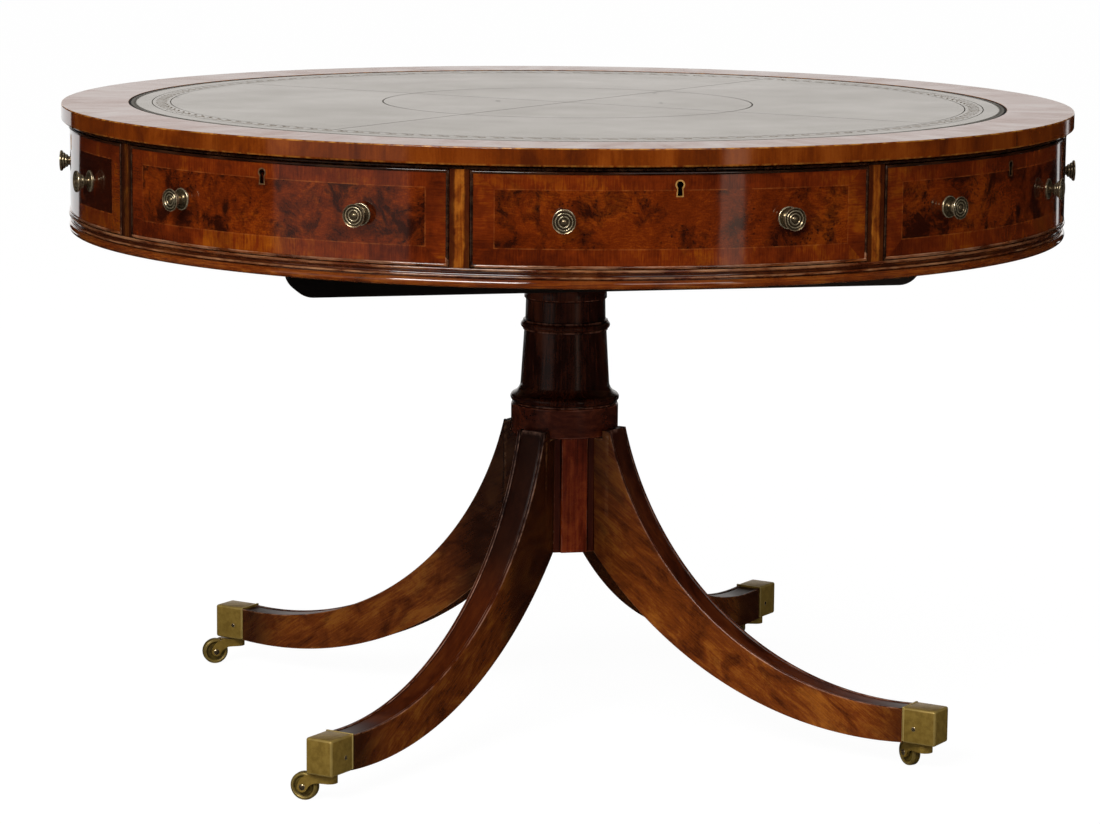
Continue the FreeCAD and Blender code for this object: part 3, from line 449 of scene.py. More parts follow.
def polished_wood(name, dark, middle, light, bare, line, run, patch, figure=0.3, smudge=0.5, roughness=0.09,
                  wear_and_highlight=0.6, wax_and_shade=0.9, lengths=0, pale_middle=0.0, coat=0.0, shine=0.5):
    """Dyed and polished wood. bare is its colour on arrises, where the dye has gone and a painted highlight
    lies. line, run and patch are the spacing of its lines, their length and the size of its patches in mm,
    figure the share of the lines and smudge the depth of its dark clouds. wear_and_highlight is how far
    arrises are lightened, by hands and as a painted highlight, and wax_and_shade how dark its corners are
    drawn, for polish dirt and as painted shade. lengths is the number of lengths of veneer round a ring,
    pale_middle half the width of a paler middle in mm, beyond which the sides are darker, partly as painted
    shade, coat how much more varnish lies on it, and shine how strongly its film mirrors."""
    finish, tree = new_finish(name)
    grain = add(tree, "ShaderNodeAttribute", attribute_name="grain")["Vector"]
    rubbed = add(tree, "ShaderNodeAttribute", attribute_name="rubbed")["Fac"]
    spot = add(tree, "ShaderNodeTexCoord")["Object"]
    across = 1000 / line
    at = add(tree, "ShaderNodeVectorMath", {0: grain, 1: (1000 / run, across, across)},
             operation="MULTIPLY")[0]
    lines = add(tree, "ShaderNodeTexNoise", {"Vector": at, "Scale": 1.0, "Detail": 5.0, "Roughness": 0.6})[0]
    broad = 1000 / patch
    at = add(tree, "ShaderNodeVectorMath", {0: grain, 1: (broad / 2, broad, broad)}, operation="MULTIPLY")[0]
    patches = add(tree, "ShaderNodeTexNoise", {"Vector": at, "Scale": 1.0, "Detail": 4.0, "Roughness": 0.6,
                                               "Distortion": 0.8})[0]
    speck = add(tree, "ShaderNodeTexNoise", {"Vector": spot, "Scale": 520.0, "Detail": 2.0})[0]
    tone = -0.05
    for layer, share in ((lines, figure), (patches, 1 - figure), (speck, 0.1)):
        tone = add(tree, "ShaderNodeMath", {0: layer, 1: share, 2: tone}, operation="MULTIPLY_ADD")[0]
    if lengths:
        side = add(tree, "ShaderNodeSeparateXYZ", {0: grain})
        turn = add(tree, "ShaderNodeMath", {0: side["Z"], 1: side["Y"]}, operation="ARCTAN2")[0]
        turn = add(tree, "ShaderNodeMath", {0: turn, 1: lengths / (2 * math.pi)}, operation="MULTIPLY")[0]
        turn = add(tree, "ShaderNodeMath", {0: turn}, operation="FLOOR")[0]
        own = add(tree, "ShaderNodeTexWhiteNoise", {"W": turn}, noise_dimensions="1D")["Value"]
        own = add(tree, "ShaderNodeMath", {0: own, 1: 0.5}, operation="SUBTRACT")[0]
        tone = add(tree, "ShaderNodeMath", {0: own, 1: 0.055, 2: tone}, operation="MULTIPLY_ADD")[0]
    colour = three_tones(tree, tone, 0.36, 0.64, dark, middle, light)
    at = add(tree, "ShaderNodeVectorMath", {0: grain, 1: (broad / 3, broad * 0.8, broad * 0.8)},
             operation="MULTIPLY")[0]
    cloud = add(tree, "ShaderNodeTexNoise", {"Vector": at, "Scale": 1.3, "Detail": 5.0, "Roughness": 0.65,
                                             "Distortion": 0.5})[0]
    cloud = add(tree, "ShaderNodeMapRange", {"Value": cloud, "From Min": 0.54, "From Max": 0.68,
                                             "To Max": smudge})[0]
    layers = [(cloud, "#1A0905")]
    # darker sides beyond a paler middle: on the stiles heartwood deepened by painted shade, on the block
    # painted shade beside a painted highlight
    if pale_middle:
        off = add(tree, "ShaderNodeAttribute", attribute_name="across")["Fac"]
        off = add(tree, "ShaderNodeMath", {0: off}, operation="ABSOLUTE")[0]
        off = add(tree, "ShaderNodeMath", {0: patches, 1: -0.006, 2: off}, operation="MULTIPLY_ADD")[0]
        off = add(tree, "ShaderNodeMapRange", {"Value": off, "From Min": (pale_middle - 4.0) * MM,
                                               "From Max": (pale_middle - 2.0) * MM, "To Max": 0.85})[0]
        layers.append((off, "#300F06"))
    # painted shade kept at the points, with patches of tone on top; a lower value leaves the wood lighter
    aged = add(tree, "ShaderNodeAttribute", attribute_name="aged")["Fac"]
    aged = add(tree, "ShaderNodeMath", {0: patches, 1: 0.5, 2: aged}, operation="MULTIPLY_ADD")[0]
    aged = add(tree, "ShaderNodeMapRange", {"Value": aged, "From Min": 0.32, "From Max": 1.2,
                                            "To Max": 0.85})[0]
    at = add(tree, "ShaderNodeVectorMath", {0: grain, 1: (0.2, 1.0, 1.0)}, operation="MULTIPLY")[0]
    broken = add(tree, "ShaderNodeTexNoise", {"Vector": at, "Scale": 110.0, "Detail": 4.0,
                                              "Roughness": 0.7})[0]
    broken = add(tree, "ShaderNodeMapRange", {"Value": broken, "From Min": 0.42, "From Max": 0.62})[0]
    # arrises lighter, from wear and as a painted highlight
    worn_and_lit = add(tree, "ShaderNodeMapRange", {"Value": rubbed, "From Min": 0.15, "From Max": 0.8,
                                            "To Max": wear_and_highlight})[0]
    worn_and_lit = add(tree, "ShaderNodeMath", {0: worn_and_lit, 1: broken}, operation="MULTIPLY")[0]
    # corners darker, from wax and as painted shade
    waxed_and_shaded = add(tree, "ShaderNodeMapRange", {"Value": rubbed, "From Min": -0.1, "From Max": -0.7,
                                             "To Max": wax_and_shade})[0]
    for share, tint in [*layers, (aged, "#1C0B06"), (worn_and_lit, bare), (waxed_and_shaded, "#0C0403")]:
        colour = add(tree, "ShaderNodeMix", {0: share, 6: colour, 7: linear(tint)}, data_type="RGBA")[2]
    film = add(tree, "ShaderNodeMapRange", {"Value": patches, "From Min": 0.3, "From Max": 0.7,
                                            "To Min": roughness - 0.03, "To Max": roughness + 0.05})[0]
    film = add(tree, "ShaderNodeMath", {0: worn_and_lit, 1: 0.15, 2: film}, operation="MULTIPLY_ADD")[0]
    wave = add(tree, "ShaderNodeTexNoise", {"Vector": spot, "Scale": 26.0, "Detail": 1.0})[0]
    normal = add(tree, "ShaderNodeBump", {"Height": wave, "Strength": 0.2, "Distance": 0.0005})[0]
    normal = add(tree, "ShaderNodeBump", {"Height": lines, "Strength": 0.08, "Distance": 0.00006,
                                          "Normal": normal})[0]
    shader = add(tree, "ShaderNodeBsdfPrincipled", {"Base Color": colour, "Roughness": film, "Normal": normal,
                                                    "IOR": 1.5, "Specular IOR Level": shine,
                                                    "Coat Weight": coat})[0]
    add(tree, "ShaderNodeOutputMaterial", {"Surface": shader})
    return finish


# French-polished yew, amber under a deep red-brown dye. On the half-round of the foot it is drawn pale,
# partly worn and partly as a painted highlight.
moulding_yew = polished_wood("french_polished_yew_moulding", "#401608", "#682C0B", "#8C4C16", "#E0B078",
                             1.3, 50, 30, figure=0.55, smudge=0.35, roughness=0.07, wear_and_highlight=0.85, coat=1.0)
# A darker copy of it for the hollow above the half-round: painted shade.
shaded_cove_yew = polished_wood("french_polished_yew_cove_shaded", "#2E1007", "#50210C", "#7A4019", "#D09A6C",
                         1.2, 50, 30, figure=0.5, smudge=0.3, roughness=0.12, wear_and_highlight=0.6, wax_and_shade=0.6, coat=0.8)
# Yew on the sides of the legs: a close brown figure with a few small dark knots.
leg_yew = polished_wood("french_polished_yew_leg", "#481E08", "#76370C", "#A05B16", "#C48A58",
                        1.6, 28, 26, figure=0.3, smudge=0.45, roughness=0.22, wear_and_highlight=0.5)
# The same wood on the upper faces, drawn nearly black; the pale pink on the arrises of their beads is a
# painted highlight.
leg_top_yew = polished_wood("french_polished_yew_leg_top", "#300F03", "#4E1D06", "#68300C", "#D8A48C",
                            4.0, 60, 40, figure=0.3, smudge=0.4, roughness=0.32, wear_and_highlight=0.75, shine=0.18)
# Veneer laid across the edge in lengths of some ten centimetres, so its tone steps a little between them.
crossbanded_yew = polished_wood("french_polished_crossbanded_yew", "#481C08", "#652A07", "#7E3C0D", "#D8963C",
                                2.0, 60, 60, figure=0.18, smudge=0.2, roughness=0.07, wear_and_highlight=0.9, lengths=33)
# On the flat of the border the same polish is dulled by fine scratches.
border_yew = polished_wood("scratched_crossbanded_yew", "#60290A", "#6F3209", "#7C3C0D", "#D8963C",
                           2.0, 60, 60, figure=0.2, smudge=0.0, roughness=0.17, wear_and_highlight=0.9)
# Stiles sawn from the edge of the log: pale sapwood in the middle and red heartwood on both sides, drawn
# darker as painted shade from the gaps beside the stile.
stile_yew = polished_wood("french_polished_yew_stile", "#45190A", "#74380D", "#9C5A18", "#D8A262",
                          3.0, 60, 16, figure=0.4, smudge=0.6, roughness=0.09, pale_middle=5.0)
# Mahogany stained nearly black-red on the turned column, and redder on the block.
column_mahogany = polished_wood("stained_mahogany_column", "#140502", "#2A0D04", "#481E0B", "#A06850",
                                3.5, 120, 40, figure=0.4, smudge=0.4, roughness=0.2, wear_and_highlight=0.85, shine=0.4)
# On the block the middle of each panel is drawn paler as a painted highlight and its sides darker as painted
# shade.
block_mahogany = polished_wood("stained_mahogany_block", "#3A0F02", "#601C04", "#843409", "#94583A",
                               3.0, 90, 30, figure=0.4, smudge=0.3, roughness=0.22, pale_middle=16.5, shine=0.3)
band_mahogany = polished_wood("stained_mahogany_band", "#280B04", "#481A0A", "#682C12", "#A8644C",
                              4.0, 50, 40, figure=0.3, smudge=0.4, roughness=0.2)
# Cockbeads are stained nearly black and drawn darker still as painted shade, under the top and beside the
# stiles. The one along the foot of each front is lighter amber, partly worn back and partly as a painted
# highlight.
bead_wood = polished_wood("stained_and_shaded_bead", "#0E0503", "#1C0A05", "#34170A", "#7E5A3C", 1.2, 30, 30, wear_and_highlight=0.25,
                          roughness=0.1)
rubbed_and_lit_bead = polished_wood("rubbed_and_lit_bead", "#280F06", "#4C220D", "#783E18", "#E0A67E", 1.2, 30, 22, wear_and_highlight=0.6,
                            figure=0.4, roughness=0.08, coat=1.0)
print(len(bpy.data.materials), "materials so far")

# %% [markdown]
# ## Finishes: the drum's fronts
# Each front is a picture in veneer. Its field is burr yew, wood from a growth full of buds, so its figure
# swirls and is strewn with dark pips and knots. A hair-thin string of boxwood frames it, and outside the
# string a crossbanded border is laid in short lengths whose grain runs to the nearest edge and meets in
# mitres. All of it is flush, so it is drawn in the finish, from the distance to the front's own edges. A
# painted picture would look the same on every front, while noise read at a different place for each front
# makes eight of a kind.

# %% Burr yew front with string and crossbanding
SIDE_BORDER, TOP_BORDER, LOW_BORDER, STRING = 0.0265, 0.0200, 0.0215, 0.0011
HALF_SWEEP = math.radians(42.78) / 2
HALF_LENGTH = HALF_SWEEP * FACE * MM
HALF_HEIGHT = (FRONT_HIGH - FRONT_LOW) / 2 * MM

burr_yew, tree = new_finish("french_polished_burr_yew")
panel = add(tree, "ShaderNodeAttribute", attribute_name="panel")["Vector"]
part = add(tree, "ShaderNodeSeparateXYZ", {0: panel})
along, up, number = part["X"], part["Y"], part["Z"]
rubbed = add(tree, "ShaderNodeAttribute", attribute_name="rubbed")["Fac"]

# how far inside the string a point is: to the sides, the top and the foot
sideways = add(tree, "ShaderNodeMath", {0: along}, operation="ABSOLUTE")[0]
to_side = add(tree, "ShaderNodeMath", {0: HALF_LENGTH - SIDE_BORDER, 1: sideways}, operation="SUBTRACT")[0]
to_top = add(tree, "ShaderNodeMath", {0: HALF_HEIGHT - TOP_BORDER, 1: up}, operation="SUBTRACT")[0]
to_foot = add(tree, "ShaderNodeMath", {0: up, 1: HALF_HEIGHT - LOW_BORDER}, operation="ADD")[0]
to_long = add(tree, "ShaderNodeMath", {0: to_top, 1: to_foot}, operation="MINIMUM")[0]
inside = add(tree, "ShaderNodeMath", {0: to_long, 1: to_side}, operation="MINIMUM")[0]
at_side = add(tree, "ShaderNodeMath", {0: to_side, 1: to_long}, operation="LESS_THAN")[0]
in_field = add(tree, "ShaderNodeMath", {0: inside, 1: 0.0}, operation="GREATER_THAN")[0]
past_string = add(tree, "ShaderNodeMath", {0: inside, 1: -STRING}, operation="GREATER_THAN")[0]
on_string = add(tree, "ShaderNodeMath", {0: past_string, 1: in_field}, operation="SUBTRACT")[0]

# the burr: a place pushed about by slow noise, so that everything read at it swirls
apart = add(tree, "ShaderNodeMath", {0: number, 1: 0.61}, operation="MULTIPLY")[0]
here = add(tree, "ShaderNodeCombineXYZ", {0: along, 1: up, 2: apart})[0]
push = add(tree, "ShaderNodeTexNoise", {"Vector": here, "Scale": 34.0, "Detail": 3.0})["Color"]
push = add(tree, "ShaderNodeVectorMath", {0: push, 1: (0.5, 0.5, 0.5)}, operation="SUBTRACT")[0]
push = add(tree, "ShaderNodeVectorMath", {0: push, "Scale": 0.015}, operation="SCALE")[0]
swirl_at = add(tree, "ShaderNodeVectorMath", {0: here, 1: push}, operation="ADD")[0]
swirl = add(tree, "ShaderNodeTexNoise", {"Vector": swirl_at, "Scale": 70.0, "Detail": 7.0, "Roughness": 0.66,
                                         "Distortion": 0.4})[0]
fibre_at = add(tree, "ShaderNodeVectorMath", {0: swirl_at, 1: (110.0, 620.0, 400.0)}, operation="MULTIPLY")[0]
fibre = add(tree, "ShaderNodeTexNoise", {"Vector": fibre_at, "Scale": 1.0, "Detail": 3.0,
                                         "Roughness": 0.7})[0]
cloud = add(tree, "ShaderNodeTexNoise", {"Vector": here, "Scale": 9.0, "Detail": 3.0, "Distortion": 0.8})[0]
speck = add(tree, "ShaderNodeTexNoise", {"Vector": here, "Scale": 640.0, "Detail": 2.0})[0]
tone = 0.03
for layer, share in ((swirl, 0.22), (fibre, 0.24), (speck, 0.16), (cloud, 0.3)):
    tone = add(tree, "ShaderNodeMath", {0: layer, 1: share, 2: tone}, operation="MULTIPLY_ADD")[0]
field = three_tones(tree, tone, 0.36, 0.66, "#3A1003", "#622306", "#92430A")

# smoke: dark clouds, drawn deeper towards the ends of the front
smoke = add(tree, "ShaderNodeTexNoise", {"Vector": swirl_at, "Scale": 24.0, "Detail": 7.0, "Roughness": 0.72,
                                         "Distortion": 0.4})[0]
depth = add(tree, "ShaderNodeAttribute", attribute_name="darkness")["Fac"]
to_end = add(tree, "ShaderNodeMapRange", {"Value": sideways, "From Min": 0.05, "From Max": HALF_LENGTH - 0.03,
                                          "To Max": 0.05})[0]
smoke = add(tree, "ShaderNodeMath", {0: smoke, 1: to_end}, operation="ADD")[0]
smoke = add(tree, "ShaderNodeMath", {0: smoke, 1: depth}, operation="ADD")[0]
smoke = add(tree, "ShaderNodeMapRange", {"Value": smoke, "From Min": 0.5, "From Max": 0.65,
                                         "To Max": 0.92})[0]

# pips: small dark buds that gather in clusters
cluster = add(tree, "ShaderNodeTexNoise", {"Vector": here, "Scale": 20.0, "Detail": 2.0})[0]
cluster = add(tree, "ShaderNodeMapRange", {"Value": cluster, "From Min": 0.5, "From Max": 0.62})[0]
pip = add(tree, "ShaderNodeTexVoronoi", {"Vector": swirl_at, "Scale": 190.0})["Distance"]
pip = add(tree, "ShaderNodeMapRange", {"Value": pip, "From Min": 0.36, "From Max": 0.14})[0]
pip = add(tree, "ShaderNodeMath", {0: pip, 1: cluster}, operation="MULTIPLY")[0]
pip = add(tree, "ShaderNodeMath", {0: pip, 1: 0.82}, operation="MULTIPLY")[0]

# knots: a few upright dark spindles
knot_at = add(tree, "ShaderNodeVectorMath", {0: swirl_at, 1: (1.0, 0.5, 1.0)}, operation="MULTIPLY")[0]
cells = add(tree, "ShaderNodeTexVoronoi", {"Vector": knot_at, "Scale": 40.0})
chosen = add(tree, "ShaderNodeSeparateColor", {0: cells["Color"]})[0]
chosen = add(tree, "ShaderNodeMath", {0: chosen, 1: 0.56}, operation="GREATER_THAN")[0]
knot = add(tree, "ShaderNodeMapRange", {"Value": cells["Distance"], "From Min": 0.24, "From Max": 0.08})[0]
knot = add(tree, "ShaderNodeMath", {0: knot, 1: chosen}, operation="MULTIPLY")[0]
knot = add(tree, "ShaderNodeMath", {0: knot, 1: 0.92}, operation="MULTIPLY")[0]
for share, tint in ((smoke, "#1E0804"), (pip, "#240B05"), (knot, "#1E0A05")):
    field = add(tree, "ShaderNodeMix", {0: share, 6: field, 7: linear(tint)}, data_type="RGBA")[2]

# the border: short lengths of straight-grained veneer, laid across
run = add(tree, "ShaderNodeMix", {0: at_side, 2: along, 3: up}, data_type="FLOAT")[0]
reach = add(tree, "ShaderNodeMix", {0: at_side, 2: up, 3: along}, data_type="FLOAT")[0]
piece_number = add(tree, "ShaderNodeMath", {0: number, 1: 0.37, 2: 0.2}, operation="MULTIPLY_ADD")[0]
piece_number = add(tree, "ShaderNodeMath", {0: run, 1: 9.0, 2: piece_number}, operation="MULTIPLY_ADD")[0]
piece_number = add(tree, "ShaderNodeMath", {0: piece_number}, operation="FLOOR")[0]
piece_number = add(tree, "ShaderNodeMath", {0: at_side, 1: 57.0, 2: piece_number},
                   operation="MULTIPLY_ADD")[0]
above = add(tree, "ShaderNodeMath", {0: up, 1: 0.0}, operation="GREATER_THAN")[0]
piece_number = add(tree, "ShaderNodeMath", {0: above, 1: 23.0, 2: piece_number}, operation="MULTIPLY_ADD")[0]
piece_tone = add(tree, "ShaderNodeTexWhiteNoise", {"W": piece_number}, noise_dimensions="1D")["Value"]
fibre_run = add(tree, "ShaderNodeMath", {0: run, 1: 520.0, 2: piece_number}, operation="MULTIPLY_ADD")[0]
fibre_reach = add(tree, "ShaderNodeMath", {0: reach, 1: 45.0}, operation="MULTIPLY")[0]
band_at = add(tree, "ShaderNodeCombineXYZ", {0: fibre_run, 1: fibre_reach, 2: apart})[0]
band = add(tree, "ShaderNodeTexNoise", {"Vector": band_at, "Scale": 1.0, "Detail": 4.0, "Roughness": 0.6})[0]
tone = -0.015
for layer, share in ((band, 0.25), (piece_tone, 0.08), (swirl, 0.25), (cloud, 0.42)):
    tone = add(tree, "ShaderNodeMath", {0: layer, 1: share, 2: tone}, operation="MULTIPLY_ADD")[0]
border = three_tones(tree, tone, 0.37, 0.63, "#421405", "#672508", "#8E470A")
stained = add(tree, "ShaderNodeMath", {0: smoke, 1: 0.4}, operation="MULTIPLY")[0]
border = add(tree, "ShaderNodeMix", {0: stained, 6: border, 7: linear("#2A0D06")}, data_type="RGBA")[2]

colour = add(tree, "ShaderNodeMix", {0: in_field, 6: border, 7: field}, data_type="RGBA")[2]
faded = add(tree, "ShaderNodeMapRange", {"Value": swirl, "From Min": 0.42, "From Max": 0.6, "To Min": 0.04,
                                         "To Max": 0.3})[0]
strung = add(tree, "ShaderNodeMath", {0: on_string, 1: faded}, operation="MULTIPLY")[0]
colour = add(tree, "ShaderNodeMix", {0: strung, 6: colour, 7: linear("#A05C2A")}, data_type="RGBA")[2]
# corners darker, from wax and as painted shade
waxed_and_shaded = add(tree, "ShaderNodeMapRange", {"Value": rubbed, "From Min": -0.1, "From Max": -0.8,
                                         "To Max": 0.8})[0]
colour = add(tree, "ShaderNodeMix", {0: waxed_and_shaded, 6: colour, 7: linear("#140805")}, data_type="RGBA")[2]
film = add(tree, "ShaderNodeMapRange", {"Value": cloud, "From Min": 0.3, "From Max": 0.7, "To Min": 0.05,
                                        "To Max": 0.11})[0]
wave = add(tree, "ShaderNodeTexNoise", {"Vector": here, "Scale": 16.0, "Detail": 2.0})[0]
normal = add(tree, "ShaderNodeBump", {"Height": wave, "Strength": 0.2, "Distance": 0.0006})[0]
normal = add(tree, "ShaderNodeBump", {"Height": fibre, "Strength": 0.08, "Distance": 0.00008,
                                      "Normal": normal})[0]
shader = add(tree, "ShaderNodeBsdfPrincipled", {"Base Color": colour, "Roughness": film, "Normal": normal,
                                                "IOR": 1.5})[0]
add(tree, "ShaderNodeOutputMaterial", {"Surface": shader})
print("a front is", round(2 * HALF_LENGTH * 1000, 1), "by", round(2 * HALF_HEIGHT * 1000, 1), "mm")

# %% [markdown]
# ## Finishes: leather, brass and plain stuff
# The writing surface is hide, dyed grey-green and rubbed flat by years of use, so it is half matt and shows a
# pale sky at a flat angle. Its tooling is pressed in with hot brass tools through gold leaf. The brass of the
# knobs, caps and castors was cast, turned and lacquered long ago: it is dull and brownish, nearly black in
# its grooves, and brighter on its ridges and edges, where it is touched and where a painted highlight lies.

# %% Writing leather
writing_leather, tree = new_finish("dyed_hide_writing_surface")
place = add(tree, "ShaderNodeTexCoord")["Object"]
stain = add(tree, "ShaderNodeTexNoise", {"Vector": place, "Scale": 7.0, "Detail": 5.0, "Roughness": 0.6})[0]
speck = add(tree, "ShaderNodeTexNoise", {"Vector": place, "Scale": 420.0, "Detail": 2.0})[0]
faded = add(tree, "ShaderNodeMapRange", {"Value": stain, "From Min": 0.35, "From Max": 0.65})[0]
colour = add(tree, "ShaderNodeMix", {0: faded, 6: linear("#59543F"), 7: linear("#635E4B")},
             data_type="RGBA")[2]
specked = add(tree, "ShaderNodeMapRange", {"Value": speck, "From Min": 0.55, "From Max": 0.75,
                                           "To Max": 0.25})[0]
colour = add(tree, "ShaderNodeMix", {0: specked, 6: colour, 7: linear("#3E3B30")}, data_type="RGBA")[2]

# tooling: fine blind lines in two diagonals and a circle, a fillet on both sides of the gilt border, a row of
# dashes near the edge, and the dark step down from the wood
side = add(tree, "ShaderNodeSeparateXYZ", {0: place})
level = add(tree, "ShaderNodeVectorMath", {0: place, 1: (1.0, 1.0, 0.0)}, operation="MULTIPLY")[0]
radius = add(tree, "ShaderNodeVectorMath", {0: level}, operation="LENGTH")["Value"]
turn = add(tree, "ShaderNodeMath", {0: side["Y"], 1: side["X"]}, operation="ARCTAN2")[0]
# each round line as (radius, half its width) in metres
ROUND_LINES = ((0.224, 0.0009), (0.4795, 0.0006), (0.5015, 0.0006))
DIAGONALS, DASHES_AT = (-42.4, 45.9), 0.5225
pressed = 0.0
for at_radius, half_width in ROUND_LINES:
    line = add(tree, "ShaderNodeMath", {0: radius, 1: at_radius, 2: half_width}, operation="COMPARE")[0]
    pressed = add(tree, "ShaderNodeMath", {0: line, 1: pressed}, operation="MAXIMUM")[0]
within = add(tree, "ShaderNodeMath", {0: radius, 1: 0.479}, operation="LESS_THAN")[0]
for bearing in DIAGONALS:
    slant = (math.sin(math.radians(bearing)), -math.cos(math.radians(bearing)), 0.0)
    line = add(tree, "ShaderNodeVectorMath", {0: place, 1: slant}, operation="DOT_PRODUCT")["Value"]
    line = add(tree, "ShaderNodeMath", {0: line, 1: 0.0, 2: 0.0008}, operation="COMPARE")[0]
    line = add(tree, "ShaderNodeMath", {0: line, 1: within}, operation="MULTIPLY")[0]
    pressed = add(tree, "ShaderNodeMath", {0: line, 1: pressed}, operation="MAXIMUM")[0]
dashes = add(tree, "ShaderNodeMath", {0: turn, 1: 400.0}, operation="MULTIPLY")[0]
dashes = add(tree, "ShaderNodeMath", {0: dashes}, operation="SINE")[0]
dashes = add(tree, "ShaderNodeMath", {0: dashes, 1: -0.3}, operation="GREATER_THAN")[0]
line = add(tree, "ShaderNodeMath", {0: radius, 1: DASHES_AT, 2: 0.0008}, operation="COMPARE")[0]
line = add(tree, "ShaderNodeMath", {0: line, 1: dashes}, operation="MULTIPLY")[0]
pressed = add(tree, "ShaderNodeMath", {0: line, 1: pressed}, operation="MAXIMUM")[0]
patchy = add(tree, "ShaderNodeMapRange", {"Value": stain, "From Min": 0.35, "From Max": 0.6, "To Min": 0.45,
                                          "To Max": 0.95})[0]
pressed = add(tree, "ShaderNodeMath", {0: pressed, 1: patchy}, operation="MULTIPLY")[0]
colour = add(tree, "ShaderNodeMix", {0: pressed, 6: colour, 7: linear("#2A1E12")}, data_type="RGBA")[2]
edge = add(tree, "ShaderNodeMapRange", {"Value": radius, "From Min": 0.5195, "From Max": 0.5215,
                                        "To Max": 0.4})[0]
gap = add(tree, "ShaderNodeMapRange", {"Value": radius, "From Min": 0.5260, "From Max": 0.5270})[0]
edge = add(tree, "ShaderNodeMath", {0: edge, 1: gap}, operation="MAXIMUM")[0]
colour = add(tree, "ShaderNodeMix", {0: edge, 6: colour, 7: linear("#0C0A08")}, data_type="RGBA")[2]
sunk = add(tree, "ShaderNodeMath", {0: edge, 1: pressed}, operation="MAXIMUM")[0]

# ink: a few round drops, each as (x, y, radius) in millimetres
INK_DROPS = ((-81.3, 25.0, 3.4), (138.7, 131.0, 2.6), (111.4, -21.3, 2.6), (-462.6, 117.5, 2.4))
inked = 0.0
for x, y, drop_radius in INK_DROPS:
    away = add(tree, "ShaderNodeVectorMath", {0: level, 1: (x * MM, y * MM, 0.0)},
               operation="DISTANCE")["Value"]
    drop = add(tree, "ShaderNodeMath", {0: away, 1: drop_radius * MM}, operation="LESS_THAN")[0]
    inked = add(tree, "ShaderNodeMath", {0: drop, 1: inked}, operation="MAXIMUM")[0]
colour = add(tree, "ShaderNodeMix", {0: inked, 6: colour, 7: linear("#0E0E14")}, data_type="RGBA")[2]

pores = add(tree, "ShaderNodeTexVoronoi", {"Vector": place, "Scale": 900.0})["Distance"]
rough = add(tree, "ShaderNodeMapRange", {"Value": stain, "From Min": 0.3, "From Max": 0.7, "To Min": 0.17,
                                         "To Max": 0.215})[0]
dulled = add(tree, "ShaderNodeMath", {0: sunk, 1: inked}, operation="MAXIMUM")[0]
rough = add(tree, "ShaderNodeMath", {0: dulled, 1: 0.5, 2: rough}, operation="MULTIPLY_ADD")[0]
normal = add(tree, "ShaderNodeBump", {"Height": stain, "Strength": 0.15, "Distance": 0.001})[0]
normal = add(tree, "ShaderNodeBump", {"Height": pores, "Strength": 0.1, "Distance": 0.00006,
                                      "Normal": normal})[0]
normal = add(tree, "ShaderNodeBump", {"Height": sunk, "Strength": 0.5, "Distance": 0.0003, "Normal": normal},
             invert=True)[0]
shader = add(tree, "ShaderNodeBsdfPrincipled", {"Base Color": colour, "Roughness": rough, "Normal": normal,
                                                "IOR": 1.45})[0]
add(tree, "ShaderNodeOutputMaterial", {"Surface": shader})

# Gold leaf burnished into the hide, thin and worn to brown.
gold_leaf, tree = new_finish("worn_gold_leaf_on_hide")
place = add(tree, "ShaderNodeTexCoord")["Object"]
rubbing = add(tree, "ShaderNodeTexNoise", {"Vector": place, "Scale": 60.0, "Detail": 4.0,
                                           "Roughness": 0.7})[0]
rubbing = add(tree, "ShaderNodeMapRange", {"Value": rubbing, "From Min": 0.4, "From Max": 0.6})[0]
colour = add(tree, "ShaderNodeMix", {0: rubbing, 6: linear("#4E3A1E"), 7: linear("#8A6C38")},
             data_type="RGBA")[2]
shader = add(tree, "ShaderNodeBsdfPrincipled", {"Base Color": colour, "Roughness": 0.55,
                                                "Metallic": rubbing})[0]
add(tree, "ShaderNodeOutputMaterial", {"Surface": shader})
print("hide and gold leaf ready")

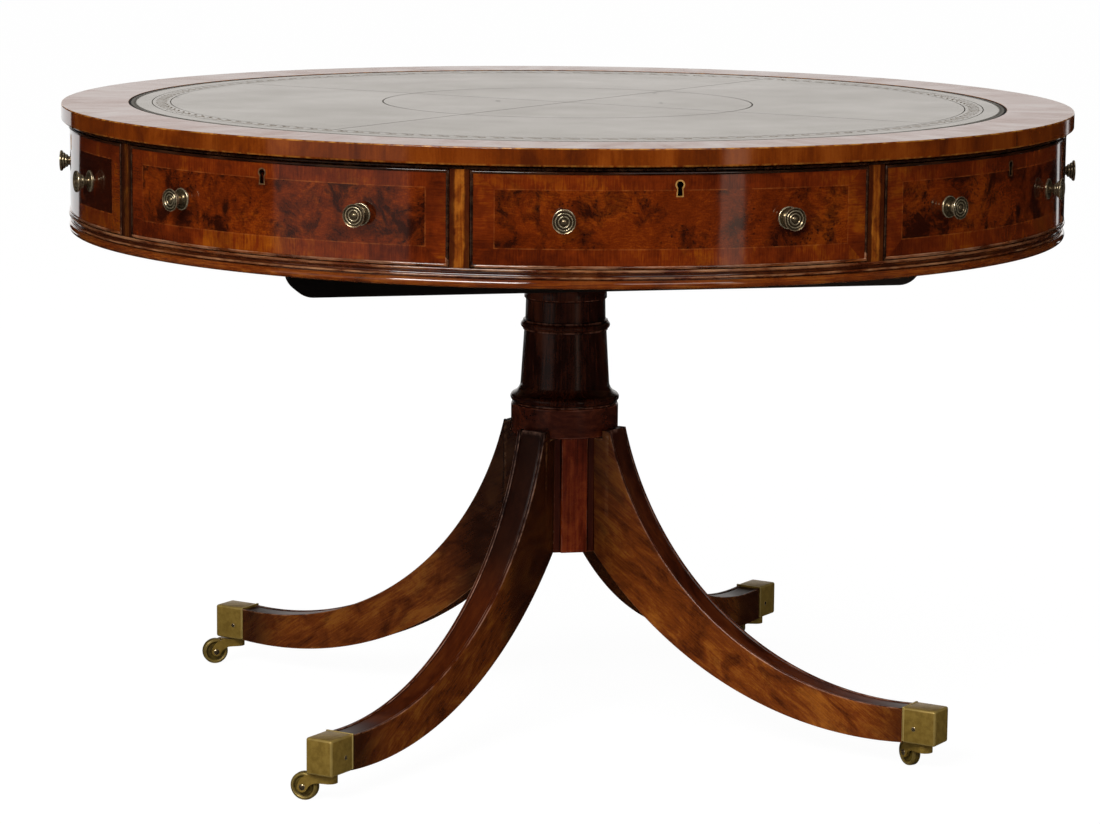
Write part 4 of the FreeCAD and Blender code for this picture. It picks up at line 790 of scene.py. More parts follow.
# %% Brass, iron and plain woods
def worked_metal(name, dark, middle, bright, roughness, pits, bare=1.0, within=0.0):
    """A metal with a dull skin. pits is the spacing of its small marks in mm, and bare how much of it is
    clean metal and not tarnish. Nearer than within, in mm from the table's axis, it is drawn black."""
    finish, tree = new_finish(name)
    place = add(tree, "ShaderNodeTexCoord")["Object"]
    rubbed = add(tree, "ShaderNodeAttribute", attribute_name="rubbed")["Fac"]
    skin = add(tree, "ShaderNodeTexNoise", {"Vector": place, "Scale": 1000 / pits / 6, "Detail": 5.0,
                                            "Roughness": 0.65})[0]
    marks = add(tree, "ShaderNodeTexNoise", {"Vector": place, "Scale": 1000 / pits, "Detail": 3.0})[0]
    dull = add(tree, "ShaderNodeMapRange", {"Value": skin, "From Min": 0.36, "From Max": 0.62})[0]
    colour = add(tree, "ShaderNodeMix", {0: dull, 6: linear(dark), 7: linear(middle)}, data_type="RGBA")[2]
    # ridges and edges lighter, from touch and as a painted highlight
    touched_and_lit = add(tree, "ShaderNodeMapRange", {"Value": rubbed, "From Min": 0.1, "From Max": 0.8,
                                               "To Max": 0.85})[0]
    colour = add(tree, "ShaderNodeMix", {0: touched_and_lit, 6: colour, 7: linear(bright)}, data_type="RGBA")[2]
    grimy = add(tree, "ShaderNodeMapRange", {"Value": rubbed, "From Min": -0.08, "From Max": -0.6,
                                             "To Max": 0.9})[0]
    colour = add(tree, "ShaderNodeMix", {0: grimy, 6: colour, 7: linear("#140E08")}, data_type="RGBA")[2]
    if within:
        level = add(tree, "ShaderNodeVectorMath", {0: place, 1: (1.0, 1.0, 0.0)}, operation="MULTIPLY")[0]
        reach = add(tree, "ShaderNodeVectorMath", {0: level}, operation="LENGTH")["Value"]
        deep = add(tree, "ShaderNodeMath", {0: reach, 1: within * MM}, operation="LESS_THAN")[0]
        colour = add(tree, "ShaderNodeMix", {0: deep, 6: colour, 7: linear("#0C0805")}, data_type="RGBA")[2]
    rough = add(tree, "ShaderNodeMapRange", {"Value": marks, "From Min": 0.3, "From Max": 0.7,
                                             "To Min": roughness - 0.08, "To Max": roughness + 0.12})[0]
    normal = add(tree, "ShaderNodeBump", {"Height": marks, "Strength": 0.2, "Distance": 0.00015})[0]
    shader = add(tree, "ShaderNodeBsdfPrincipled", {"Base Color": colour, "Metallic": bare,
                                                    "Roughness": rough, "Normal": normal})[0]
    add(tree, "ShaderNodeOutputMaterial", {"Surface": shader})
    return finish


knob_brass = worked_metal("turned_brass_aged", "#5E4E38", "#907C5C", "#E6D6B2", 0.2, 0.7, 0.82)
cap_brass = worked_metal("cast_brass_aged", "#886C2A", "#A2843A", "#E2CA82", 0.36, 1.4, 0.45)
wheel_brass = worked_metal("cast_brass_worn_wheel", "#5A481C", "#806A28", "#C0A660", 0.4, 1.2, 0.5)
lining_brass = worked_metal("sheet_brass_lining", "#94682F", "#C6934F", "#E4BC80", 0.3, 1.0, 0.3,
                            within=599.4)
# The dummies' keyholes are never touched by a key, so their linings have gone brown.
dull_brass = worked_metal("tarnished_brass_lining", "#3A2412", "#6A4826", "#9A7A50", 0.4, 1.0, 0.2,
                          within=599.4)
plain_iron = worked_metal("forged_iron", "#22201E", "#3C3835", "#6A645C", 0.5, 1.5)


def plain_wood(name, dark, light, line, run, roughness, axis=(0, 0, 0)):
    """Planed wood with no polish, its grain along X, read from where the piece stands."""
    finish, tree = new_finish(name)
    place = add(tree, "ShaderNodeTexCoord")["Object"]
    place = add(tree, "ShaderNodeMapping", {"Vector": place, "Rotation": axis})[0]
    at = add(tree, "ShaderNodeVectorMath", {0: place, 1: (1000 / run, 1000 / line, 1000 / line)},
             operation="MULTIPLY")[0]
    lines = add(tree, "ShaderNodeTexNoise", {"Vector": at, "Scale": 1.0, "Detail": 6.0, "Roughness": 0.65,
                                             "Distortion": 0.4})[0]
    share = add(tree, "ShaderNodeMapRange", {"Value": lines, "From Min": 0.32, "From Max": 0.68})[0]
    colour = add(tree, "ShaderNodeMix", {0: share, 6: linear(dark), 7: linear(light)}, data_type="RGBA")[2]
    dust = add(tree, "ShaderNodeTexNoise", {"Vector": place, "Scale": 12.0, "Detail": 3.0})[0]
    dust = add(tree, "ShaderNodeMapRange", {"Value": dust, "From Min": 0.45, "From Max": 0.7,
                                            "To Max": 0.35})[0]
    colour = add(tree, "ShaderNodeMix", {0: dust, 6: colour, 7: linear(dark)}, data_type="RGBA")[2]
    rough = add(tree, "ShaderNodeMapRange", {"Value": lines, "To Min": roughness - 0.08,
                                             "To Max": roughness + 0.08})[0]
    normal = add(tree, "ShaderNodeBump", {"Height": lines, "Strength": 0.3, "Distance": 0.0002})[0]
    shader = add(tree, "ShaderNodeBsdfPrincipled", {"Base Color": colour, "Roughness": rough,
                                                    "Normal": normal, "IOR": 1.5})[0]
    add(tree, "ShaderNodeOutputMaterial", {"Surface": shader})
    return finish


drawer_oak = plain_wood("planed_oak_lining", "#6E4A2A", "#A57C4E", 2.4, 70, 0.6)
drawer_oak_across = plain_wood("planed_oak_lining_across", "#6E4A2A", "#A57C4E", 2.4, 70, 0.6,
                               axis=(0, 0, math.pi / 2))
inner_pine = plain_wood("planed_pine_carcass", "#5A3A20", "#8C6238", 4.0, 120, 0.65)
ebonised = plain_wood("ebonised_beech", "#050302", "#100A07", 2.0, 60, 0.3)
print(len(bpy.data.materials), "materials")

# %% [markdown]
# ## The top
# A round top is built of boards, with a border of crossbanded veneer whose grain points to the middle, a
# plain edge of the same veneer, and a sunk panel of leather. It is turned work as far as its shape goes, so a
# section is carried round the axis. A cylinder with a bevel would give the same outline, but not the fine
# easing that catches the light all round the edge.

# %% Border of the top
BORDER_INSIDE = 529.9
rim = [(BORDER_INSIDE, TOP_LOW)] + arc((TOP_RADIUS - 2.4, TOP_LOW), (TOP_RADIUS, TOP_LOW + 2.4), 2.4, 5)
rim += arc((TOP_RADIUS, TOP_HIGH - 1.4), (TOP_RADIUS - 1.4, TOP_HIGH), 1.4, 5) + [(BORDER_INSIDE, TOP_HIGH)]
top_border = turned("top_border_veneered", eased(rim, 0.3), 360, ring=True, grain=round_grain(570))
dress(top_border, "drum", "crossbanded_yew", crossbanded_yew, "top_border")
top_border.data.materials.append(border_yew)
for face in top_border.data.polygons:
    face.material_index = int(face.normal.z > 0.95)
print("top border", [round(side, 3) for side in top_border.dimensions], "m")

# %% Leather panel
sheet_rings = [(0.0, LEATHER_LOW), (LEATHER_RADIUS - 0.4, LEATHER_LOW), (LEATHER_RADIUS, LEATHER_LOW + 0.3)]
sheet_rings += [(LEATHER_RADIUS, LEATHER_HIGH - 0.3), (LEATHER_RADIUS - 0.6, LEATHER_HIGH)]
sheet_rings += [(radius, LEATHER_HIGH) for radius in (526, 520, 480, 420, 340, 260, 180, 100, 40, 0)]
leather = turned("leather_sheet", sheet_rings, 240)
dress(leather, "drum", "writing_leather", writing_leather, "leather_panel")
print("leather", len(leather.data.polygons), "faces")

# %% [markdown]
# ## The rings of the drum
# Under the top a thin bead runs round the rail, and at the foot of the drum a moulding of a hollow, a fillet
# and a fat half-round carries the eye round. They are run with a scratch stock, so each is one section
# carried round, and their small hollows are drawn as arcs.

# %% Rail bead and base moulding
BEAD_HIGH = 740.4
rail = [(572.0, RAIL_LOW)] + arc((599.0, RAIL_LOW), (599.0, BEAD_HIGH), 1.7, 8)
rail += [(597.0, BEAD_HIGH), (597.0, TOP_LOW), (572.0, TOP_LOW)]
rail_ring = turned("upper_rail_bead", eased(rail, 0.25, steps=2), 360, ring=True, grain=round_grain(599))
# the rail bead under the top takes the near-black bead finish, partly painted shade
dress(rail_ring, "drum", "polished_yew", bead_wood, "upper_rail")

# from the foot up: a fat half-round, a small bead, a hollow and a bead under the fronts
HALF_ROUND_HIGH = 620.3
foot = [(588.0, MOULDING_LOW)] + arc((598.9, MOULDING_LOW), (599.4, 620.0), 4.9, 14)
foot += [(598.0, 620.4), (598.0, 621.6)] + arc((599.6, 621.7), (599.6, 624.1), 1.3, 6) + [(598.0, 624.3)]
foot += arc((597.6, 625.0), (599.8, 628.6), -3.0, 8)
foot += arc((601.2, 628.7), (601.2, MOULDING_HIGH), 1.7, 6) + [(588.0, MOULDING_HIGH)]
foot_ring = turned("base_moulding_run", eased(foot, 0.2, steps=2), 360, ring=True, grain=along_ring)
dress(foot_ring, "drum", "polished_yew", moulding_yew, "base_moulding")
# faces above the half-round take the darker copy, as painted shade
foot_ring.data.materials.append(shaded_cove_yew)
for face in foot_ring.data.polygons:
    face.material_index = int(face.center.z > HALF_ROUND_HIGH * MM)
print("two rings,", len(rail_ring.data.polygons) + len(foot_ring.data.polygons), "faces")

# %% [markdown]
# ## Fronts that bend round the drum
# On the real table a front is glued up from thin layers in a curved press, veneered, and edged with a
# cockbead. Here it is made flat, as the veneer is, and a Geometry Nodes tree then bends it: a point's
# distance along the front becomes an angle and its depth a smaller radius. One flat master gives all eight,
# and the same tree bends the beads. A Simple Deform modifier could bend it too, but this rule names the
# radius and lands in place.

# %% A Geometry Nodes tree that bends a flat piece round the drum
def geometry_tree(name, **sockets):
    """A tree with a geometry in and out and named inputs. Gives the tree and its inputs."""
    tree = bpy.data.node_groups.new(name, "GeometryNodeTree")
    tree.interface.new_socket("Geometry", in_out="INPUT", socket_type="NodeSocketGeometry")
    tree.interface.new_socket("Geometry", in_out="OUTPUT", socket_type="NodeSocketGeometry")
    for title, kind in sockets.items():
        tree.interface.new_socket(title.replace("_", " "), in_out="INPUT", socket_type=f"NodeSocket{kind}")
    return tree, add(tree, "NodeGroupInput")


def evaluated_mesh(piece):
    """The mesh that a piece's modifiers make of it."""
    bpy.context.view_layer.update()
    graph = bpy.context.evaluated_depsgraph_get()
    evaluated = piece.evaluated_get(graph)
    return bpy.data.meshes.new_from_object(evaluated, preserve_all_data_layers=True, depsgraph=graph)


def grown(name, base, tree, **values):
    """Run a tree on an object, keep the result as a plain mesh in a new object, and clear the tree away."""
    modifier = base.modifiers.new("tree", "NODES")
    modifier.node_group = tree
    sockets = {item.name: item.identifier for item in tree.interface.items_tree if item.in_out == "INPUT"}
    for title, value in values.items():
        modifier[sockets[title.replace("_", " ")]] = value
    mesh = evaluated_mesh(base)
    mesh.name = name
    base.modifiers.remove(modifier)
    return placed(name, mesh)


bend, given = geometry_tree("bend_round_the_drum", Radius="Float", Bearing="Float", Finish="Material")
flat = add(bend, "ShaderNodeSeparateXYZ", {0: add(bend, "GeometryNodeInputPosition")[0]})
turn = add(bend, "ShaderNodeMath", {0: flat["X"], 1: given["Radius"]}, operation="DIVIDE")[0]
turn = add(bend, "ShaderNodeMath", {0: turn, 1: given["Bearing"]}, operation="ADD")[0]
reach = add(bend, "ShaderNodeMath", {0: given["Radius"], 1: flat["Y"]}, operation="SUBTRACT")[0]
east = add(bend, "ShaderNodeMath", {0: turn}, operation="COSINE")[0]
east = add(bend, "ShaderNodeMath", {0: east, 1: reach}, operation="MULTIPLY")[0]
north = add(bend, "ShaderNodeMath", {0: turn}, operation="SINE")[0]
north = add(bend, "ShaderNodeMath", {0: north, 1: reach}, operation="MULTIPLY")[0]
place = add(bend, "ShaderNodeCombineXYZ", {0: east, 1: north, 2: flat["Z"]})[0]
bent = add(bend, "GeometryNodeSetPosition", {"Geometry": given["Geometry"], "Position": place})[0]
bent = add(bend, "GeometryNodeRealizeInstances", {0: bent})[0]
bent = add(bend, "GeometryNodeSetMaterial", {"Geometry": bent, "Material": given["Finish"]})[0]
add(bend, "NodeGroupOutput", {0: bent})
print("bending tree has", len(bend.nodes), "nodes")

# %% The flat master of a front, with its keyhole
def flat_board(name, half_x, y_low, y_high, z_low, z_high, columns, rows):
    """A board whose faces are divided along X and Z so that it can bend. Its outer face looks to -Y."""
    xs = [-half_x + 2 * half_x * step / columns for step in range(columns + 1)]
    zs = [z_low + (z_high - z_low) * step / rows for step in range(rows + 1)]
    points = [(x, y, z) for y in (y_low, y_high) for z in zs for x in xs]
    wide, sheet = columns + 1, (columns + 1) * (rows + 1)
    faces = []
    for row in range(rows):
        for column in range(columns):
            low = row * wide + column
            near = [low, low + 1, low + 1 + wide, low + wide]
            faces += [near, [sheet + corner for corner in reversed(near)]]
    edge = [(c, c + 1) for c in range(columns)]
    edge += [(columns + r * wide, columns + (r + 1) * wide) for r in range(rows)]
    edge += [(rows * wide + c + 1, rows * wide + c) for c in reversed(range(columns))]
    edge += [((r + 1) * wide, r * wide) for r in reversed(range(rows))]
    faces += [[b, a, a + sheet, b + sheet] for a, b in edge]
    return new_piece(name, points, faces)


def keyhole(centre, radius, drop, skirt):
    """The outline of a keyhole: a round head over a skirt that widens to its foot."""
    start = math.atan2(-0.785, 0.62)
    turns = [start + (math.pi - 2 * start) * step / 20 for step in range(21)]
    head = [(radius * math.cos(turn), centre + radius * math.sin(turn)) for turn in turns]
    return [(-skirt, centre - drop), (skirt, centre - drop)] + head


def prism(name, outline, y_low, y_high):
    """An outline in X and Z carried along Y."""
    count = len(outline)
    points = [(x, y, z) for y in (y_low, y_high) for x, z in outline]
    sides = [[a, a + count, (a + 1) % count + count, (a + 1) % count] for a in range(count)]
    return new_piece(name, points, [list(range(count)), list(range(2 * count - 1, count - 1, -1)), *sides])


def carved(piece, tool, grain):
    """The mesh of a piece with the tool's shape cut out of it. Both objects are cleared away."""
    cutter = piece.modifiers.new("cutter", "BOOLEAN")
    cutter.operation, cutter.solver, cutter.object = "DIFFERENCE", "EXACT", tool
    mesh = finished(evaluated_mesh(piece), grain)
    clear_away(piece, tool)
    return mesh


# the front stops this far inside the outer edge of its bead
SET_BACK, KEYHOLE_CENTRE = 0.25, 722.6
blank = flat_board("front_blank", HALF_SWEEP * FACE - SET_BACK, 0.0, 22.0, FRONT_LOW + SET_BACK,
                   FRONT_HIGH - SET_BACK, 96, 14)
hole = prism("keyhole_cutter", keyhole(KEYHOLE_CENTRE, 5.3, 13.2, 4.2), -3.0, 12.0)
front_master = placed("front_master", carved(blank, hole, lengthways))
print("flat front", len(front_master.data.polygons), "faces")

# %% The flat master of a cockbead, mitred at its corners
def frame_of_bead(name, half_x, z_low, z_high, section, columns, rows):
    """A frame with mitred corners. section is a list of (inset from the outer edge, depth)."""
    points = []
    for inset, depth in section:
        left, right, low, high = inset - half_x, half_x - inset, z_low + inset, z_high - inset
        loop = [(left + (right - left) * step / columns, low) for step in range(columns)]
        loop += [(right, low + (high - low) * step / rows) for step in range(rows)]
        loop += [(right - (right - left) * step / columns, high) for step in range(columns)]
        loop += [(left, high - (high - low) * step / rows) for step in range(rows)]
        points += [(x, depth, z) for x, z in loop]
    around = 2 * (columns + rows)
    faces = []
    for level in range(len(section)):
        low, high = level * around, (level + 1) % len(section) * around
        for step in range(around):
            following = (step + 1) % around
            faces.append([low + step, low + following, high + following, high + step])
    return new_piece(name, points, faces, lengthways, sharp=50)


bead_section = [(0.0, 6.0), (0.0, -0.4)] + [
    (1.6 - 1.6 * math.cos(turn), -0.4 - 1.1 * math.sin(turn))
    for turn in (math.pi * step / 10 for step in range(1, 10))
] + [(3.2, -0.4), (3.2, 1.2), (3.2, 6.0)]
bead_master = frame_of_bead("cockbead_master", HALF_SWEEP * FACE, FRONT_LOW, FRONT_HIGH, bead_section, 96, 14)
print("flat cockbead", len(bead_master.data.polygons), "faces")

# %% Bend both round the drum, eight times
def panel_places(mesh, bearing, number):
    """Keep where each point lies on its own front: along it, up it, and which front it is."""
    places = []
    for point in mesh.vertices:
        turn = math.atan2(point.co.y, point.co.x) - bearing
        turn = (turn + math.pi) % (2 * math.pi) - math.pi
        places += [turn * FACE * MM, point.co.z - FRONT_MIDDLE * MM, float(number)]
    mesh.attributes.new("panel", "FLOAT_VECTOR", "POINT").data.foreach_set("vector", places)


# how far in a front is bare oak, and how wide the lighter bead at its foot is, worn and with a painted
# highlight
BARE_FROM, FOOT_BEAD = 13.0, 3.4
# how much darker the veneer of some fronts is
DARKER = {"left": 0.15, "front_left": 0.03, "front_right": 0.05, "back_left": 0.04, "right": 0.05}
fronts = [(place, bearing, f"{place}_drawer", f"{place}_drawer_front") for place, bearing in DRAWERS.items()]
fronts += [(place, bearing, "drum", f"{place}_dummy_front") for place, bearing in DUMMIES.items()]
for number, (place, degrees, body, solid) in enumerate(fronts):
    bearing = math.radians(degrees)
    front = grown(f"{place}_front_veneered", front_master, bend, Radius=FACE * MM, Bearing=bearing,
                  Finish=burr_yew)
    panel_places(front.data, bearing, number)
    shade = front.data.attributes.new("darkness", "FLOAT", "POINT")
    shade.data.foreach_set("value", [DARKER.get(place, 0.0)] * len(front.data.vertices))
    front.data.materials.append(drawer_oak)
    for face in front.data.polygons:
        face.material_index = int(math.hypot(face.center.x, face.center.y) < (FACE - BARE_FROM) * MM)
    dress(front, body, "burr_yew", None, solid)
    bead = grown(f"{place}_cockbead", bead_master, bend, Radius=FACE * MM, Bearing=bearing, Finish=bead_wood)
    panel_places(bead.data, bearing, number)
    bead.data.materials.append(rubbed_and_lit_bead)
    # the foot of each bead takes the lighter copy: wear and a painted highlight
    places = bead.data.attributes["panel"].data
    for face in bead.data.polygons:
        spot = places[face.vertices[0]].vector
        rise, to_end = spot.y + HALF_HEIGHT, HALF_LENGTH - abs(spot.x)
        face.material_index = int(rise < min(to_end, FOOT_BEAD * MM))
    dress(bead, body, "burr_yew", None, solid)
clear_away(front_master, bead_master)
print(len(fronts), "fronts bent to a radius of", FACE, "mm")

# %% [markdown]
# ## Copies in a ring
# Stiles, knobs, screws and legs repeat round the axis. A Geometry Nodes tree makes a point for each copy,
# turns it to its bearing and puts the piece on it. An Array modifier with an offset object could do it, but
# it needs an extra object for the turn, and here the count, the first bearing and the step are plain inputs.

# %% A Geometry Nodes tree that sets copies in a ring
ring_of, given = geometry_tree("ring_of_copies", Piece="Object", Count="Int", First_bearing="Float",
                               Step="Float", Finish="Material")
spots = add(ring_of, "GeometryNodePoints", {"Count": given["Count"]})[0]
index = add(ring_of, "GeometryNodeInputIndex")[0]
turn = add(ring_of, "ShaderNodeMath", {0: index, 1: given["Step"], 2: given["First bearing"]},
           operation="MULTIPLY_ADD")[0]
turn = add(ring_of, "ShaderNodeCombineXYZ", {2: turn})[0]
turn = add(ring_of, "FunctionNodeEulerToRotation", {0: turn})[0]
copied = add(ring_of, "GeometryNodeObjectInfo", {"Object": given["Piece"]})["Geometry"]
copies = add(ring_of, "GeometryNodeInstanceOnPoints", {"Points": spots, "Instance": copied,
                                                       "Rotation": turn})[0]
copies = add(ring_of, "GeometryNodeRealizeInstances", {0: copies})[0]
copies = add(ring_of, "GeometryNodeSetMaterial", {"Geometry": copies, "Material": given["Finish"]})[0]
add(ring_of, "NodeGroupOutput", {0: copies})


def ring(name, piece, finish, count=1, first=0.0, step=0.0):
    """Copies of a piece round the table's axis. Bearings are in degrees."""
    carrier = placed(name + "_carrier", bpy.data.meshes.new(name + "_carrier"))
    made = grown(name, carrier, ring_of, Piece=piece, Count=count, First_bearing=math.radians(first),
                 Step=math.radians(step), Finish=finish)
    clear_away(carrier)
    return made


def joined(name, *pieces):
    """Join meshes into one object."""
    shape = bmesh.new()
    for piece in pieces:
        shape.from_mesh(piece.data)
    clear_away(*pieces)
    mesh = bpy.data.meshes.new(name)
    shape.to_mesh(mesh)
    shape.free()
    return placed(name, mesh)


print("ring tree has", len(ring_of.nodes), "nodes")

# %% [markdown]
# ## Gilt scrolls on the leather
# A bookbinder's wheel rolls the border round the hide: one small motif, a scroll with a curved tail, pressed
# through gold leaf again and again. The gold is a skin a few hundredths of a millimetre thick that stands on
# the hide's face. Painting it into the leather would need one picture for the whole top, so one motif is made
# from narrow ribbons and the ring tree sets it round the border.

# %% Gilt scrolls on the leather
def ribbon(name, line, width, low, high):
    """A flat strip along a line of (x, y), closed all round and narrow at its ends."""
    points = []
    for number, (x, y) in enumerate(line):
        before, after = Vector(line[max(number - 1, 0)]), Vector(line[min(number + 1, len(line) - 1)])
        ahead = (after - before).normalized()
        half = width / 2 * (0.35 + 0.65 * math.sin(math.pi * (number + 0.5) / len(line)))
        for across, level in ((half, low), (-half, low), (-half, high), (half, high)):
            points.append((x - ahead.y * across, y + ahead.x * across, level))
    last = 4 * (len(line) - 1)
    faces = [[0, 1, 2, 3], [last + 3, last + 2, last + 1, last]]
    for number in range(len(line) - 1):
        for side in range(4):
            a, b = 4 * number + side, 4 * number + (side + 1) % 4
            faces.append([b, a, a + 4, b + 4])
    return new_piece(name, points, faces)


scroll = []
for step in range(14):
    share = step / 13
    turn = math.radians(-70 + 430 * share)
    curl = 6.4 * (1 - 0.72 * share)
    scroll.append((491.0 + curl * math.cos(turn), 2.0 + curl * math.sin(turn)))
tail = [(484.5 + 2.2 * share ** 2, -9.6 + 8.0 * share) for share in (0.0, 0.33, 0.66, 1.0)]
# the gold starts a little under the hide's face and stands a few hundredths above it
SCROLLS, GOLD = 150, (761.46, 761.53)
stamp = joined("scroll_stamp", ribbon("scroll", scroll, 1.9, *GOLD), ribbon("tail", tail, 2.4, *GOLD))
gilding = ring("leather_gilt_scrolls", stamp, gold_leaf, SCROLLS, 0.0, 360 / SCROLLS)
clear_away(stamp)
dress(gilding, "drum", "writing_leather", None)
print("gilding", len(gilding.data.polygons), "faces")

# %% [markdown]
# ## Stiles
# A narrow upright stands between each two fronts. It is sawn from the edge of the log, so that pale sapwood
# runs down its middle. One flat strip is bent by the same tree as the fronts, and the ring tree sets eight
# copies of it round the drum. Copies need no list of places, as they stand at even steps.

# %% Stiles
half_stile = math.radians(2.06) / 2 * FACE
stile_flat = flat_board("stile_flat", half_stile, 0.0, 28.0, MOULDING_HIGH, RAIL_LOW, 6, 14)
stile_bent = grown("stile_bent", stile_flat, bend, Radius=FACE * MM, Bearing=0.0, Finish=stile_yew)
stiles = ring("stiles_veneered", stile_bent, stile_yew, 8, STILE_BEARING, FRONTS_APART)
clear_away(stile_flat, stile_bent)
dress(stiles, "drum", "crossbanded_yew", None, "stiles")
finished(stiles.data, upright)
measure_across(stiles.data, STILE_BEARING, FRONTS_APART)
# painted shade: the stile at the left, a little towards the front, is drawn dark
paint_shade(stiles.data, lambda p: 0.75 if p.x < -0.5 and -0.3 < p.y < 0 else 0.0)
print("stiles", len(stiles.data.polygons), "faces")

# %% [markdown]
# ## Brass knobs
# A knob is turned in a lathe from a cast blank: a wide dished back plate, a neck, a head that steps out in
# three beads, and rings on its face. Its section is drawn once and carried round, then laid on its side and
# put where the shank enters the front.

# %% Knobs
KNOB_REACH, KNOBS_APART = 17.6, 23.6
knob_section = [(0.0, -0.6), (12.4, -0.6), (12.4, 0.7)] + arc((12.3, 0.9), (11.2, 1.5), 0.9, 4)
knob_section += [(10.6, 1.0), (8.0, 1.0)] + arc((6.6, 2.0), (5.2, 4.6), -4.0, 5) + [(5.6, 7.8)]
knob_section += arc((6.6, 8.0), (7.4, 11.0), 1.9, 6) + [(7.6, 11.2)] + arc((8.6, 11.3), (9.6, 14.0), 1.9, 6)
knob_section += [(9.8, 14.1)] + arc((11.0, 14.2), (12.4, 17.1), 2.0, 6)
knob_section += [(11.0, 16.3), (10.2, 16.3), (9.6, 17.0), (8.8, 17.0), (8.0, 16.0), (6.9, 16.0), (6.3, 16.8)]
knob_section += [(5.3, 16.8), (4.6, 16.0), (3.4, 16.0)] + arc((3.2, 16.2), (0.0, KNOB_REACH), 4.4, 6)
knob_upright = turned("knob_upright", eased(knob_section, 0.18, closed=False, steps=2), 48)
lay_down = Matrix.Translation((FACE * MM, 0.0, FRONT_MIDDLE * MM)) @ Matrix.Rotation(math.pi / 2, 4, "Y")
knob_upright.data.transform(lay_down)
pair = ring("knob_pair", knob_upright, knob_brass, 2, -KNOBS_APART / 2, KNOBS_APART)
for place, bearing in DRAWERS.items():
    knobs = ring(f"{place}_knobs_turned", pair, knob_brass, 1, bearing)
    dress(knobs, f"{place}_drawer", "brass", None, f"{place}_drawer_knobs")
knobs = ring("dummy_knobs_turned", pair, knob_brass, 4, -135.0, 90.0)
dress(knobs, "drum", "brass", None, "dummy_knobs")
clear_away(knob_upright, pair)
print("a knob stands", KNOB_REACH, "mm proud; the dummies' eight have", len(knobs.data.polygons), "faces")

# %% [markdown]
# ## The pedestal's turned work
# The column is one long turning: a rounded foot, a hollow, a shaft that thins upwards, a fat bead between two
# fillets, a fine neck and a bell that carries the drum. The band under it belongs to the block that the legs
# are joined to.

# %% Column
shaft = [(0.0, COLUMN_LOW), (64.6, COLUMN_LOW), (64.6, 395.4)] + arc((64.2, 396.4), (62.6, 406.0), 5.2, 10)
shaft += arc((60.8, 407.2), (54.4, 418.5), -15.0, 8) + [(50.4, 484.0), (52.0, 484.0), (52.0, 485.6)]
shaft += arc((51.6, 485.8), (51.6, 494.4), 4.5, 10) + [(52.0, 494.6), (52.0, 496.4), (49.2, 496.4)]
shaft += [(48.6, 522.0), (50.6, 523.5)] + arc((50.6, 527.0), (62.0, 554.0), -30.0, 10)
shaft += [(62.0, COLUMN_HIGH), (0.0, COLUMN_HIGH)]
column = turned("column_turned", eased(shaft, 0.3, closed=False, steps=2), 128)
dress(column, "pedestal", "polished_yew", column_mahogany, "column")
print("column", [round(side, 3) for side in column.dimensions], "m")

# %% Band and block
band = [(0.0, BAND_LOW), (64.3, BAND_LOW), (65.8, 358.5)] + arc((65.8, 391.6), (64.2, 393.2), 1.6, 4)
band += [(63.2, COLUMN_LOW), (0.0, COLUMN_LOW)]
band_piece = turned("block_band_turned", eased(band, 0.4, closed=False, steps=2), 128, grain=as_it_stands)
dress(band_piece, "pedestal", "polished_yew", band_mahogany, "leg_block")


def upright_prism(name, outline, low, high):
    """An outline in X and Y carried up, with its foot eased."""
    levels = [(low, 1.2), (low + 0.35, 0.35), (low + 1.2, 0.0), (low + 2.0, 0.0), (high - 2.0, 0.0),
              (high, 0.0)]
    points = []
    for level, inset in levels:
        for x, y in outline:
            shrink = 1 - inset / math.hypot(x, y)
            points.append((x * shrink, y * shrink, level))
    count = len(outline)
    faces = [list(range(count))[::-1], list(range((len(levels) - 1) * count, len(levels) * count))]
    for level in range(len(levels) - 1):
        for a in range(count):
            b = (a + 1) % count
            faces.append([level * count + a, level * count + b, (level + 1) * count + b,
                          (level + 1) * count + a])
    return new_piece(name, points, faces, sharp=50)


# a quarter of the outline: from one leg's face round the panel on the diagonal to the next leg's face
panel_reach, panel_half = 57.0, 16.0
diagonal = math.sqrt(0.5)
far, near = (panel_reach + panel_half) * diagonal, (panel_reach - panel_half) * diagonal
quarter = [(LEG_ROOT, HALF_ROOT), (far - 2.2, near - 3.2), (far, near), (near, far), (near - 3.2, far - 2.2),
           (HALF_ROOT, LEG_ROOT)]
outline = []
for turn in range(4):
    for x, y in quarter:
        for _ in range(turn):
            x, y = -y, x
        outline.append((x, y))
outline = [point for number, point in enumerate(outline) if math.dist(point, outline[number - 1]) > 0.1]
block = upright_prism("block_faceted", supported(eased(outline, 1.2), True), BLOCK_LOW, BAND_LOW)
block.data.transform(Matrix.Rotation(math.radians(TURNED_BY + 45.0), 4, "Z"))
measure_across(block.data, TURNED_BY, 90.0)
dress(block, "pedestal", "polished_yew", block_mahogany, "leg_block")
print("block", len(block.data.polygons), "faces")

# %% [markdown]
# ## Sabre legs
# A sabre leg is sawn from a plank along two arcs, tapered in width, and its upper face is worked with a
# narrow bead along each edge and a flat sunk between them. It is the main sculpted piece, so it is lofted
# here: a section across the leg is moved along the two arcs, and each point of it hangs from the upper or the
# lower one.

# %% Leg outline: the upper and the lower path
CAP_START, NOTCH, LEG_HEAD, STATIONS = 480.0, 66.4, 367.0, 72
# each arc as (x of its centre, height of its centre, radius)
UPPER_ARC, LOWER_ARC = (452.7, 463.1, 388.3), (437.3, 522.8, 490.4)


def angle_under(circle, x):
    """The angle at which the under side of a circle lies at x, seen from its centre."""
    centre_x, _, radius = circle
    return math.atan2(-math.sqrt(radius * radius - (x - centre_x) ** 2), x - centre_x)


